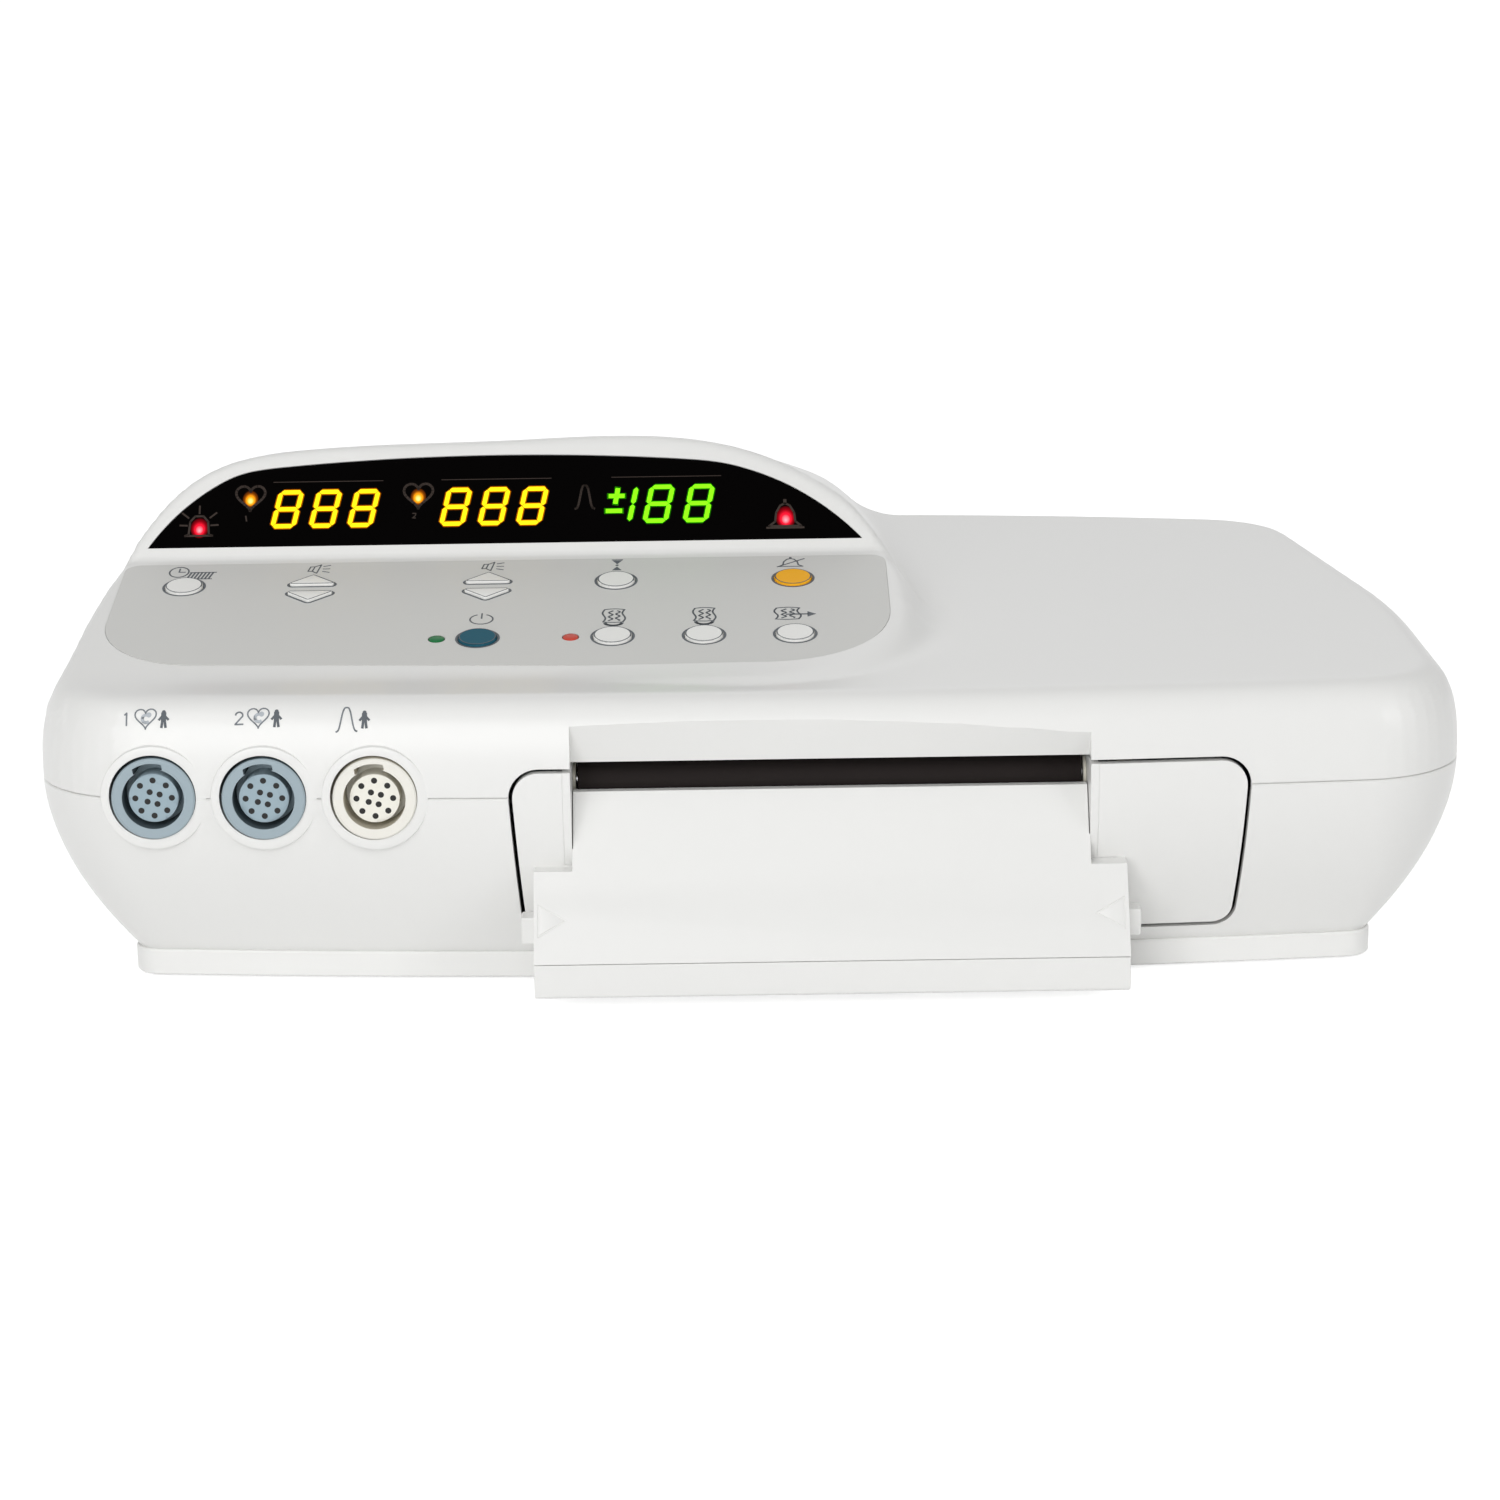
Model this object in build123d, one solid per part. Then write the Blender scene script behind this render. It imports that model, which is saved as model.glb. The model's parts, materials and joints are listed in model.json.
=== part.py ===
from build123d import *
from math import acos, atan2, cos, degrees, pi, radians, sin, tan
import os

# A desktop monitor with a chart recorder, in millimetres.
# +X is the user's right, +Y points to the rear and +Z up. The origin is on the table,
# under the middle of the whole object, with the paper drawer shut.

# General walls and fits
wall = 3.0
slip = 0.3
running = 0.05
sheet_metal = 1.5
board_thickness = 1.6
overrun = 40.0
reach = 600.0

# Housing, widest at the seam between its two shells
case_width = 446.0
case_depth = 296.0
deck_height = 94.0
seam_height = 64.5
plinth_height = 9.5
foot_stand = 1.2
front_bow = 10.0
back_bow = 26.0
straight_side = 125.0
rear_narrowing = 22.0
front_corner_radius = 36.0
side_blend_radius = 380.0
rear_corner_radius = 40.0
least_corner_radius = 4.0
belly_inset = 23.0
belly_power = 1.85
belly_front_share = 0.75
belly_height_shares = (1.0, 0.84, 0.62, 0.4, 0.2, 0.0)
shoulder_inset = 14.0
shoulder_power = 2.6
shoulder_height_shares = (0.0, 0.45, 0.72, 0.9, 0.97, 1.0)
plinth_proud = 1.2
seam_gap = 0.5
seam_groove = 1.0

# Keypad wedge and the hood behind it
panel_tilt = 12.0
panel_toe = 36.0
panel_length = 92.9
pod_base_drop = 8.0
pod_rise = 32.0
flank_height_shares = (0.0, 0.31, 0.48, 0.66, 0.85, 1.0)
flank_inset_shares = (0.19, 0.5, 0.6, 0.78, 1.01, 1.28)
pod_width = 273.0
pod_right_height = 107.0
pod_right_bulge = 1.5
pod_flank_angle = 35.0
pod_corner_radius = 54.0
window_tilt = 54.0
window_wall = 4.0
hood_crest = 148.0
hood_crest_fall = 11.5
hood_stations = 6
hood_right_draw = 10.0
hood_x_shares = (0.0, 0.015, 0.04, 0.076, 0.122, 0.236, 0.487, 0.79, 0.855, 0.895, 0.933)
hood_z_shares = (0.0, 0.161, 0.44, 0.665, 0.836, 0.961, 1.0, 0.903, 0.766, 0.644, 0.44)
hood_back_height_shares = (0.0, 0.25, 0.5, 1.0)
hood_back_inset_shares = (0.13, 0.45, 0.85, 2.1)

# Screws, bosses and feet
boss_radius = 4.5
screw_radius = 1.75
screw_head_radius = 3.4
screw_head_height = 2.0
boss_side_gap = 35.0
boss_rear_side_gap = 63.0
boss_front_y = -92.0
boss_middle_y = 25.0
boss_rear_y = 100.0
foot_radius = 9.0
foot_pocket = 1.0
foot_side_gap = 83.0
foot_front_y = -96.0
foot_rear_y = 100.0

# Display window and what glows behind it: places along X start at the case's left side
window_side_gap = 22.0
window_width = 239.7
window_sill = 4.6
window_height = 32.6
window_thickness = 2.0
window_set_back = 0.2
window_ledge = 2.0
window_side_radius = 16.0
window_x_shares = (0.0, 0.049, 0.127, 0.45, 0.801, 0.91, 1.0)
window_z_shares = (0.0, 0.445, 0.856, 1.0, 0.899, 0.564, 0.0)
display_depth = 8.0
display_height = 19.0
display_sill = 9.2
rate_width = 40.0
rate_left_1 = 61.5
rate_left_2 = 119.0
pressure_left = 177.5
lamp_radius = 2.5
lamp_length = 7.0
siren_x = 38.7
bell_x = 236.0
alarm_sill = 13.0
heart_x_1 = 55.0
heart_x_2 = 111.2
heart_sill = 24.0
post_radius = 2.5
post_shares = (0.2, 0.5, 0.8)
board_margin = 1.2

# Keypad: places start at the case's left side, and up the slope at its front edge
overlay_side_gap = 15.8
overlay_width = 253.2
overlay_front = 3.7
overlay_rear = 88.7
overlay_left_radius = 34.0
overlay_right_radius = 44.0
overlay_rear_radius = 5.0
overlay_thickness = 0.7
overlay_recess = 0.5
key_radius = 6.15
key_proud = 0.8
key_travel = 0.8
key_bevel = 0.3
key_flange = 1.2
key_flange_thickness = 1.0
arrow_width = 17.4
arrow_height = 7.7
arrow_gap = 5.2
arrow_radius = 0.9
front_row = 27.6
rear_row = 70.6
arrow_row = 67.5
setup_x = 37.3
volume_x_1 = 79.4
volume_x_2 = 137.4
middle_x = 179.7
mark_x = 208.9
right_x = 238.0
power_x = 136.6
power_lamp_x = 123.5
record_lamp_x = 166.3
panel_lamp_stand = 0.4
dome_height = 1.4
dome_radius = 4.0
dome_gap = 0.1
switch_board_margin = 9.0

# Patient sockets, centred on the seam
socket_side_gap = 40.0
socket_pitch = 34.1
socket_count = 3
collar_radius = 16.4
collar_proud = 0.8
collar_depth = 6.5
ring_radius = 12.85
ring_proud = 0.9
ring_bevel = 0.5
ring_flange = 2.5
ring_flange_thickness = 2.0
ring_body_radius = 11.4
ring_bore_radius = 9.5
ring_bore_depth = 12.0
keyway_width = 9.0
keyway_depth = 1.7
keyway_angle = 8.0
core_radius = 7.65
core_foot = 3.0
core_set_back = 1.4
contact_radius = 0.75
contact_sides = 8
contact_depth = 4.0
contact_outer_count = 8
contact_outer_circle = 5.6
contact_inner_count = 4
contact_inner_circle = 2.2
contact_inner_angle = 30.0
input_board_y = -112.0
input_board_height = 30.0

# Paper drawer and its apron
apron_reach = 15.5
door_left_reach = 18.3
door_right_reach = 48.7
door_top = 71.9
door_bottom = 15.7
door_draft = 3.4
door_gap = 1.3
door_wall = 3.0
door_top_radius = 8.0
door_bottom_radius = 6.0
slot_left = -55.0
slot_width = 159.0
slot_foot = 63.0
slot_ledge = 11.8
notch_foot = 42.0
brow_height = 13.5
brow_depth = 9.0
lintel_depth = 11.0
tray_wall = 2.5
tray_floor = 21.5
tray_rim = 58.0
tray_back = -2.0
cheek_length = 36.0
well_front = -105.0
keel_width = 3.0
keel_drop = 6.0
keel_foot_width = 8.0
keel_foot_height = 2.0
keel_inset = 18.0
keel_set_back = 12.0
rail_wall = 1.7
rail_length = 106.0
apron_wall = 2.5
apron_left_reach = 11.8
apron_right_reach = 11.0
lip_top = 16.0
lip_height = 10.8
lip_edge_radius = 1.2
lip_clearance = 1.0
lip_depth = 17.0
mark_height = 10.4
mark_depth_along = 9.2
mark_line = 0.5
mark_groove = 0.3
mark_inset = 1.2
mark_rise = 8.5
latch_set_back = 4.5
latch_foot = 18.4
latch_height = 8.6
latch_depth = 7.0
latch_stand = 4.4
latch_length = 14.0
latch_travel = 2.5
latch_edge_radius = 0.8
latch_spring_gap = 5.0
latch_spring_thickness = 0.4

# Platen roller, its gears and its motor
roller_back = 23.2
roller_height = 64.0
roller_radius = 7.3
shaft_radius = 2.5
roller_end_gap = 0.6
bush_radius = 4.5
bush_flange = 1.0
bush_proud = 0.8
gear_module = 0.7
gear_width = 5.0
gear_backlash = 0.12
pressure_angle = 20.0
roller_teeth = 22
idler_teeth = 34
pinion_teeth = 18
addendum_share = 1.0
dedendum_share = 1.25
motor_angle = -20.0
idler_pin_radius = 2.0
gear_side_gap = 1.5
bracket_sheet = 2.0
bracket_gap = 3.0
bracket_length = 52.0
bracket_height = 86.0
motor_size = 35.0
motor_length = 26.0
motor_corner = 4.0
motor_boss_radius = 11.0
head_thickness = 3.0
head_height = 14.0
head_gap = 0.3
head_angle = 45.0
sink_thickness = 7.0
sink_fins = 5
beam_height = 6.0
leg_depth = 14.0

# Chassis and electronics
chassis_side_gap = 53.0
chassis_front = -112.0
chassis_rear = 92.0
main_board_gap = 16.0
main_board_side_gap = 73.0
main_board_front = 6.0
main_board_rear = 88.0
chip_shares = ((0.12, 0.5, 0.1, 0.015), (0.4, 0.55, 0.12, 0.06), (0.68, 0.3, 0.14, 0.015))
capacitor_count = 4
capacitor_height = 14.0
standoff_height = 8.0
standoff_radius = 3.0
supply_side_gap = 55.0
supply_width = 100.0
supply_front = 10.0
supply_depth = 78.0
supply_height = 42.0
supply_corner_radius = 3.0
speaker_side_gap = 93.0
speaker_y = -52.0
speaker_radius = 33.0
speaker_height = 22.0
speaker_rim = 3.0
slot_count = 9
slot_pitch = 6.0
slot_open = 2.6
bay_side_gap = 103.0
bay_foot = 14.0
bay_top = 50.0
bay_panel_y = 120.0
bay_wall = 2.5
inlet_side_gap = 32.0
inlet_z = 32.0
inlet_width = 48.0
inlet_height = 24.0
inlet_cavity_width = 24.2
inlet_cavity_height = 16.4
inlet_cavity_depth = 17.0
inlet_body_depth = 24.0
inlet_wall = 1.8
inlet_flange = 2.0
inlet_corner = 4.0
pin_width = 2.0
pin_height = 4.0
pin_pitch = 7.0
pin_drop = 5.0
stud_pitch = 42.0
stud_radius = 3.0
stud_length = 14.0
stud_nut_radius = 6.5
stud_nut_thickness = 3.0
jack_side_gap = 32.0
jack_pitch = 24.0
jack_count = 3
jack_size = 15.0
jack_open_width = 11.8
jack_open_height = 7.4
jack_depth = 16.0

total_depth = case_depth + apron_reach
front_y = apron_reach - total_depth / 2
back_y = total_depth / 2
half_width = case_width / 2
left_side = -half_width
pod_right = left_side + pod_width
window_left = left_side + window_side_gap
overlay_left = left_side + overlay_side_gap
overlay_right = overlay_left + overlay_width
socket_left = left_side + socket_side_gap
supply_left = left_side + supply_side_gap
main_board_left = supply_left + supply_width + main_board_gap
main_board_right = half_width - main_board_side_gap
speaker_x = left_side + speaker_side_gap
chassis_x = half_width - chassis_side_gap
bay_half = half_width - bay_side_gap
inlet_x = inlet_side_gap - bay_half
stud_x = inlet_x + stud_pitch
jack_right = bay_half - jack_side_gap
boss_x = half_width - boss_side_gap
boss_rear_x = half_width - boss_rear_side_gap
foot_x = half_width - foot_side_gap
switch_board_drop = wall + slip + key_flange_thickness + key_travel + dome_gap + dome_height


def outline(side_inset, front_inset):
    """Plan outline of the housing, drawn in from its widest line."""
    side = half_width - side_inset
    rear = side - rear_narrowing
    nose = front_y + front_inset
    corner = nose + front_bow
    taper = front_y + straight_side
    tail = back_y - side_inset
    tail_corner = tail - back_bow
    edges = [
        ThreePointArc((-side, corner), (0, nose), (side, corner)),
        Line((side, corner), (side, taper)),
        Line((side, taper), (rear, tail_corner)),
        ThreePointArc((rear, tail_corner), (0, tail), (-rear, tail_corner)),
        Line((-rear, tail_corner), (-side, taper)),
        Line((-side, taper), (-side, corner)),
    ]
    face = make_face(Curve() + edges)
    front_radius = max(front_corner_radius - side_inset, least_corner_radius)
    rear_radius = max(rear_corner_radius - side_inset, least_corner_radius)
    face = fillet(face.vertices().group_by(Axis.Y)[2], rear_radius)
    face = fillet(face.vertices().group_by(Axis.Y)[1], side_blend_radius)
    return fillet(face.vertices().group_by(Axis.Y)[0], front_radius)


def belly(thickness):
    """Lower half of the body, which swells from the plinth to the seam."""
    sections = []
    for share in belly_height_shares:
        inset = belly_inset * share**belly_power
        z = seam_height - share * (seam_height - plinth_height)
        face = outline(inset + thickness, belly_front_share * inset + thickness)
        sections.append(Pos(0, 0, z) * face)
    return loft(sections, ruled=True)


def shoulder(thickness):
    """Upper half of the body, rounded over to the flat deck."""
    sections = []
    rise = deck_height - thickness - seam_height
    for share in shoulder_height_shares:
        inset = shoulder_inset * (1 - (1 - share**shoulder_power) ** (1 / shoulder_power))
        face = outline(inset + thickness, inset + thickness)
        sections.append(Pos(0, 0, seam_height + share * rise) * face)
    return loft(sections, ruled=True)


toe_y = front_y + panel_toe
valley = (toe_y + panel_length * cos(radians(panel_tilt)),
          deck_height + panel_length * sin(radians(panel_tilt)))
pod_base = deck_height - pod_base_drop


def slope(y, z, tilt):
    """Plane that rises to the rear at a tilt, its local X to the right."""
    normal = (0, -sin(radians(tilt)), cos(radians(tilt)))
    return Plane(origin=(0, y, z), x_dir=(1, 0, 0), z_dir=normal)


panel = slope(toe_y, deck_height, panel_tilt)
glass = slope(valley[0], valley[1], window_tilt)


def above(plane, offset):
    """Everything above a plane that is shifted along its normal."""
    side = (Align.CENTER, Align.CENTER, Align.MIN)
    return plane * Pos(0, 0, offset) * Box(2 * reach, 2 * reach, reach, align=side)


def flanks(thickness):
    """The body's sides, carried on upwards round the wedge."""
    sections = []
    for height, share in zip(flank_height_shares, flank_inset_shares):
        inset = shoulder_inset * share + thickness
        sections.append(Pos(0, 0, pod_base + height * pod_rise) * outline(inset, inset))
    return loft(sections, ruled=True)


def pod_plan(spread):
    """Plan of the wedge: open to the left, with a large round corner at its right front."""
    right = pod_right + spread
    radius = pod_corner_radius + spread
    corner = toe_y + pod_corner_radius
    left = -half_width - overrun
    middle = (corner + valley[0]) / 2
    edges = [
        Line((left, front_y - overrun), (right - radius, front_y - overrun)),
        Line((right - radius, front_y - overrun), (right - radius, corner - radius)),
        RadiusArc((right - radius, corner - radius), (right, corner), -radius),
        ThreePointArc((right, corner), (right + pod_right_bulge, middle), (right, valley[0])),
        Line((right, valley[0]), (left, valley[0])),
        Line((left, valley[0]), (left, front_y - overrun)),
    ]
    return make_face(Curve() + edges)


def flank_spread(z):
    """How far the pod's right flank stands out from its rim at a height."""
    return (pod_right_height - z) * tan(radians(pod_flank_angle))


def wedge(thickness):
    """Sloping block that carries the keypad."""
    top = pod_base + pod_rise
    low = Pos(0, 0, pod_base) * pod_plan(flank_spread(pod_base) - thickness)
    high = Pos(0, 0, top) * pod_plan(flank_spread(top) - thickness)
    body = flanks(thickness) & loft([low, high], ruled=True)
    return body - above(panel, -thickness)


def side_x(y):
    """Half width of the body at a place along it."""
    taper = front_y + straight_side
    share = max(0, (y - taper) / (back_y - back_bow - taper))
    return half_width - rear_narrowing * share


def hood_face(y, thickness):
    """Upright section of the hood, from the left flank over the crest to the right foot."""
    run = y - valley[0]
    left = -side_x(y) + flank_inset_shares[0] * shoulder_inset + thickness
    drawn = hood_right_draw * run / (back_y - valley[0])
    right = pod_right + flank_spread(pod_base) - drawn - thickness
    rim = (hood_crest - valley[1]) / tan(radians(window_tilt))
    crest = hood_crest - (run - rim) * tan(radians(hood_crest_fall)) - thickness
    points = []
    for x_share, z_share in zip(hood_x_shares, hood_z_shares):
        x = left + x_share * (right - left)
        z = pod_base + z_share * (crest - pod_base)
        points.append((x, y, z))
    foot = (right, y, pod_base)
    edges = [Spline(points), Line(points[-1], foot), Line(foot, points[0])]
    return Face(Wire(edges))


def hood(thickness, front_wall):
    """Raised cover over the display, falling to the rear."""
    length = back_y - valley[0]
    places = [valley[0] + length * n / (hood_stations - 1) for n in range(hood_stations)]
    body = loft([hood_face(y, thickness) for y in places], ruled=True)
    back = []
    for height, share in zip(hood_back_height_shares, hood_back_inset_shares):
        inset = shoulder_inset * share + thickness
        z = pod_base + height * (hood_crest - pod_base + wall)
        back.append(Pos(0, 0, z) * outline(inset, 0))
    return (body & loft(back, ruled=True)) - above(glass, -front_wall)


def slab(face, y_low, y_high):
    """Prism of a face drawn in X and Z, between two places along Y."""
    return extrude(Plane.XZ.offset(-y_high) * face, y_high - y_low)


def plate(face, x_low, x_high):
    """Prism of a face drawn in Y and Z, between two places along X."""
    return extrude(Plane.YZ.offset(x_low) * face, x_high - x_low)


def block(x_low, x_high, y_low, y_high, z_low, z_high):
    """Square block between its two corners."""
    size = (x_high - x_low, y_high - y_low, z_high - z_low)
    return Pos(x_low, y_low, z_low) * Box(*size, align=(Align.MIN, Align.MIN, Align.MIN))


def post(x, y, z_low, z_high, radius):
    """Upright round post."""
    side = (Align.CENTER, Align.CENTER, Align.MIN)
    return Pos(x, y, z_low) * Cylinder(radius, z_high - z_low, align=side)


def rod(x_low, x_high, y, z, radius):
    """Round bar along X."""
    return plate(Pos(y, z) * Circle(radius), x_low, x_high)


def bar(x, z, y_low, y_high, radius):
    """Round bar along Y."""
    return slab(Pos(x, z) * Circle(radius), y_low, y_high)


def shape(points):
    """Face of a closed outline of straight lines."""
    return make_face(Polyline(*points, close=True))


def on(plane, face, low, high):
    """Prism of a face on a sloping plane, between two heights over it."""
    return extrude(plane.offset(low) * face, high - low)


def plinth(thickness, low, growth):
    """Upright foot band of the lower case."""
    inset = belly_inset - plinth_proud + thickness - growth
    front = belly_front_share * belly_inset - plinth_proud + thickness - growth
    face = outline(inset, front)
    return Pos(0, 0, low) * extrude(face, plinth_height - low)


# Places that several pieces share
body_skin = belly(0) + shoulder(0)
slot_right = slot_left + slot_width
door_left = slot_left - door_left_reach
door_right = slot_right + door_right_reach
apron_left = slot_left - apron_left_reach
apron_right = slot_right + apron_right_reach
slot_y = front_y + slot_ledge
roller_y = front_y + roller_back
door_inner_y = front_y + door_wall
cheek_back = front_y + cheek_length
tray_left = slot_left - tray_wall
tray_right = slot_right + tray_wall
bracket_x = tray_right + bracket_gap
gear_low = bracket_x + bracket_sheet + gear_side_gap
gear_high = gear_low + gear_width
plate_x = gear_high + gear_side_gap
chassis_foot = foot_stand + wall
chassis_top = chassis_foot + sheet_metal
brow_z = door_top + door_gap
boss_places = [
    (-boss_x, boss_front_y), (boss_x, boss_front_y),
    (-boss_x, boss_middle_y), (boss_x, boss_middle_y),
    (-boss_rear_x, boss_rear_y), (boss_rear_x, boss_rear_y),
]
foot_places = [
    (-foot_x, foot_front_y), (foot_x, foot_front_y),
    (-foot_x, foot_rear_y), (foot_x, foot_rear_y),
]
socket_places = [socket_left + socket_pitch * n for n in range(socket_count)]


def socket_face(x):
    """Front of a socket's collar, a little proud of the bowed front."""
    return front_y + front_bow * (x / half_width) ** 2 - collar_proud


def door_plan(spread):
    """Front view of the drawer's door: it narrows downwards and has round corners."""
    points = [
        (door_left + door_draft - spread, door_bottom - spread),
        (door_right - door_draft + spread, door_bottom - spread),
        (door_right + spread, door_top + spread),
        (door_left - spread, door_top + spread),
    ]
    face = shape(points)
    face = fillet(face.vertices().group_by(Axis.Y)[-1], door_top_radius + spread)
    return fillet(face.vertices().group_by(Axis.Y)[0], door_bottom_radius + spread)


def window_plan(spread):
    """The display window: flat sill, high shoulder on the left, long slope on the right."""
    points = []
    for x_share, z_share in zip(window_x_shares, window_z_shares):
        x = window_left - spread + x_share * (window_width + 2 * spread)
        points.append((x, window_sill - spread + z_share * (window_height + 2 * spread)))
    edges = [ThreePointArc(*points[n:n + 3]) for n in (0, 2, 4)]
    edges.append(Line(points[-1], points[0]))
    face = make_face(Curve() + edges)
    shoulders = face.vertices().group_by(Axis.Y)[-2:]
    corners = [vertex for group in shoulders for vertex in group]
    return fillet(corners, window_side_radius)


def overlay_plan(spread):
    """Keypad overlay: large round corners in front, small ones under the hood."""
    points = [
        (overlay_left - spread, overlay_front - spread),
        (overlay_right + spread, overlay_front - spread),
        (overlay_right + spread, overlay_rear + spread),
        (overlay_left - spread, overlay_rear + spread),
    ]
    face = shape(points)
    face = fillet(face.vertices().group_by(Axis.Y)[-1], overlay_rear_radius)
    front = face.vertices().group_by(Axis.Y)[0].sort_by(Axis.X)
    face = fillet(front[-1], overlay_right_radius)
    front = face.vertices().group_by(Axis.Y)[0].sort_by(Axis.X)
    return fillet(front[0], overlay_left_radius)


def arrow_plan(points_up, spread):
    """Arrow key: a flat triangle with soft corners, from its base line to its tip."""
    half = arrow_width / 2 + 2 * spread
    side = 1 if points_up else -1
    base = side * (arrow_gap / 2 - spread)
    tip = side * (arrow_gap / 2 + arrow_height + spread)
    face = shape([(-half, base), (half, base), (0, tip)])
    return fillet(face.vertices(), arrow_radius)


round_keys = {
    "setup_key": (left_side + setup_x, rear_row),
    "reference_key": (left_side + middle_x, rear_row),
    "silence_key": (left_side + right_x, rear_row),
    "power_key": (left_side + power_x, front_row),
    "record_key": (left_side + middle_x, front_row),
    "mark_key": (left_side + mark_x, front_row),
    "advance_key": (left_side + right_x, front_row),
}
arrow_keys = {
    "volume_1_up_key": (left_side + volume_x_1, True),
    "volume_1_down_key": (left_side + volume_x_1, False),
    "volume_2_up_key": (left_side + volume_x_2, True),
    "volume_2_down_key": (left_side + volume_x_2, False),
}
panel_lamps = [(left_side + x, front_row) for x in (power_lamp_x, record_lamp_x)]


def key_plans(spread):
    """Outline of every key on the panel, by name."""
    plans = {}
    for name, (x, s) in round_keys.items():
        plans[name] = Pos(x, s) * Circle(key_radius + spread)
    for name, (x, points_up) in arrow_keys.items():
        plans[name] = Pos(x, arrow_row) * arrow_plan(points_up, spread)
    return plans


middle_row = (front_row + rear_row) / 2
switch_posts = [
    (overlay_left + 3 * switch_board_margin, front_row),
    (left_side + (setup_x + volume_x_1) / 2, rear_row),
    (overlay_right - 2 * switch_board_margin, middle_row),
    (left_side + (mark_x + middle_x) / 2, middle_row),
    (left_side + (volume_x_1 + volume_x_2) / 2, front_row),
]
board_drop = window_set_back + window_thickness + slip + display_depth
board_posts = [(window_left + window_width * share, window_sill) for share in post_shares]
board_posts.append((window_left + window_width * window_x_shares[3],
                    window_sill + window_height))


def socket_cuts():
    """Bores through the sockets' collars, wider behind for the rear flanges."""
    cuts = []
    for x in socket_places:
        face = socket_face(x)
        cuts.append(bar(x, seam_height, front_y - overrun, face + overrun,
                        ring_radius + running))
        cuts.append(bar(x, seam_height, face + collar_depth, face + overrun,
                        ring_radius + ring_flange + slip))
    return cuts


def upper_case():
    """Top shell with its deck, wedge, hood, brow and the upper halves of the openings."""
    outer = shoulder(0) + wedge(0) + hood(0, 0)
    inner = shoulder(wall) + wedge(wall) + hood(wall, window_wall)
    shell = outer - inner
    lintel = block(slot_left - tray_wall, slot_right + tray_wall, front_y - overrun,
                   front_y + lintel_depth, brow_z, deck_height - wall / 2)
    brow = shape([
        (front_y - overrun, brow_z - overrun),
        (front_y + brow_depth, brow_z - overrun),
        (front_y + brow_depth, brow_z),
        (front_y, brow_z + brow_height),
        (front_y - overrun, brow_z + brow_height),
    ])
    shell = shell + (lintel & shoulder(0))
    shell = shell - plate(brow, slot_left, slot_right)
    for x in socket_places:
        shell = shell + bar(x, seam_height, socket_face(x),
                            socket_face(x) + collar_depth, collar_radius)
    for x, y in boss_places:
        shell = shell + (post(x, y, seam_height, hood_crest, boss_radius) & outer)
    for x, s in switch_posts:
        shell = shell + on(panel, Pos(x, s) * Circle(post_radius), -switch_board_drop,
                           -wall / 2)
    for x, w in board_posts:
        shell = shell + on(glass, Pos(x, w) * Circle(post_radius), -board_drop,
                           -window_ledge)
    cuts = [slab(door_plan(door_gap), front_y - overrun, cheek_back)]
    cuts.append(on(glass, window_plan(-window_ledge), -overrun, overrun))
    cuts.append(on(glass, window_plan(running), -window_set_back - window_thickness, overrun))
    cuts.append(on(panel, overlay_plan(running), -overlay_recess, overrun))
    for plan in key_plans(slip).values():
        cuts.append(on(panel, plan, -wall * 2, overrun))
    for x, s in panel_lamps:
        cuts.append(on(panel, Pos(x, s) * Circle(lamp_radius + slip), -wall * 2, overrun))
    cuts = cuts + socket_cuts()
    for x, y in boss_places:
        cuts.append(post(x, y, seam_height - overrun, deck_height - 2 * wall,
                         screw_radius + running))
    cuts.append(Pos(0, 0, seam_height - overrun) * Box(reach, reach, overrun,
                align=(Align.CENTER, Align.CENTER, Align.MIN)))
    return shell - cuts


def lower_case():
    """Bottom shell: belly, foot band, sockets' lower halves, speaker slots and rear bay."""
    shell = (belly(0) + plinth(0, foot_stand, 0)) - (belly(wall) + plinth(wall, chassis_foot, 0))
    for x in socket_places:
        shell = shell + bar(x, seam_height, socket_face(x),
                            socket_face(x) + collar_depth, collar_radius)
    for x, y in boss_places:
        shell = shell + post(x, y, foot_stand, seam_height, boss_radius)
    tunnel = block(-bay_half - bay_wall, bay_half + bay_wall, bay_panel_y - bay_wall, back_y,
                   bay_foot - bay_wall, bay_top + bay_wall)
    shell = shell + (tunnel & belly(0))
    cuts = [slab(door_plan(door_gap), front_y - overrun, cheek_back)]
    cuts.append(block(-bay_half, bay_half, bay_panel_y - overrun, back_y + overrun,
                      bay_foot, bay_top))
    cuts = cuts + socket_cuts()
    for x, y in boss_places:
        cuts.append(post(x, y, foot_stand - overrun, seam_height + overrun,
                         screw_radius + slip))
        cuts.append(post(x, y, foot_stand - overrun, foot_stand + screw_head_height + slip,
                         screw_head_radius + slip))
    for x, y in foot_places:
        cuts.append(post(x, y, foot_stand - overrun, foot_stand + foot_pocket,
                         foot_radius + running))
    for n in range(slot_count):
        y = speaker_y + slot_pitch * (n - (slot_count - 1) / 2)
        half = ((speaker_radius - speaker_rim) ** 2 - (y - speaker_y) ** 2) ** 0.5
        cuts.append(block(speaker_x - half, speaker_x + half, y - slot_open / 2,
                          y + slot_open / 2, foot_stand - overrun, chassis_foot + overrun / 2))
    cuts.append(Pos(0, 0, seam_height) * Box(reach, reach, overrun,
                align=(Align.CENTER, Align.CENTER, Align.MIN)))
    groove = outline(-overrun, -overrun) - outline(seam_groove, seam_groove)
    cuts.append(Pos(0, 0, seam_height - seam_gap) * extrude(groove, overrun))
    return shell - cuts


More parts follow.
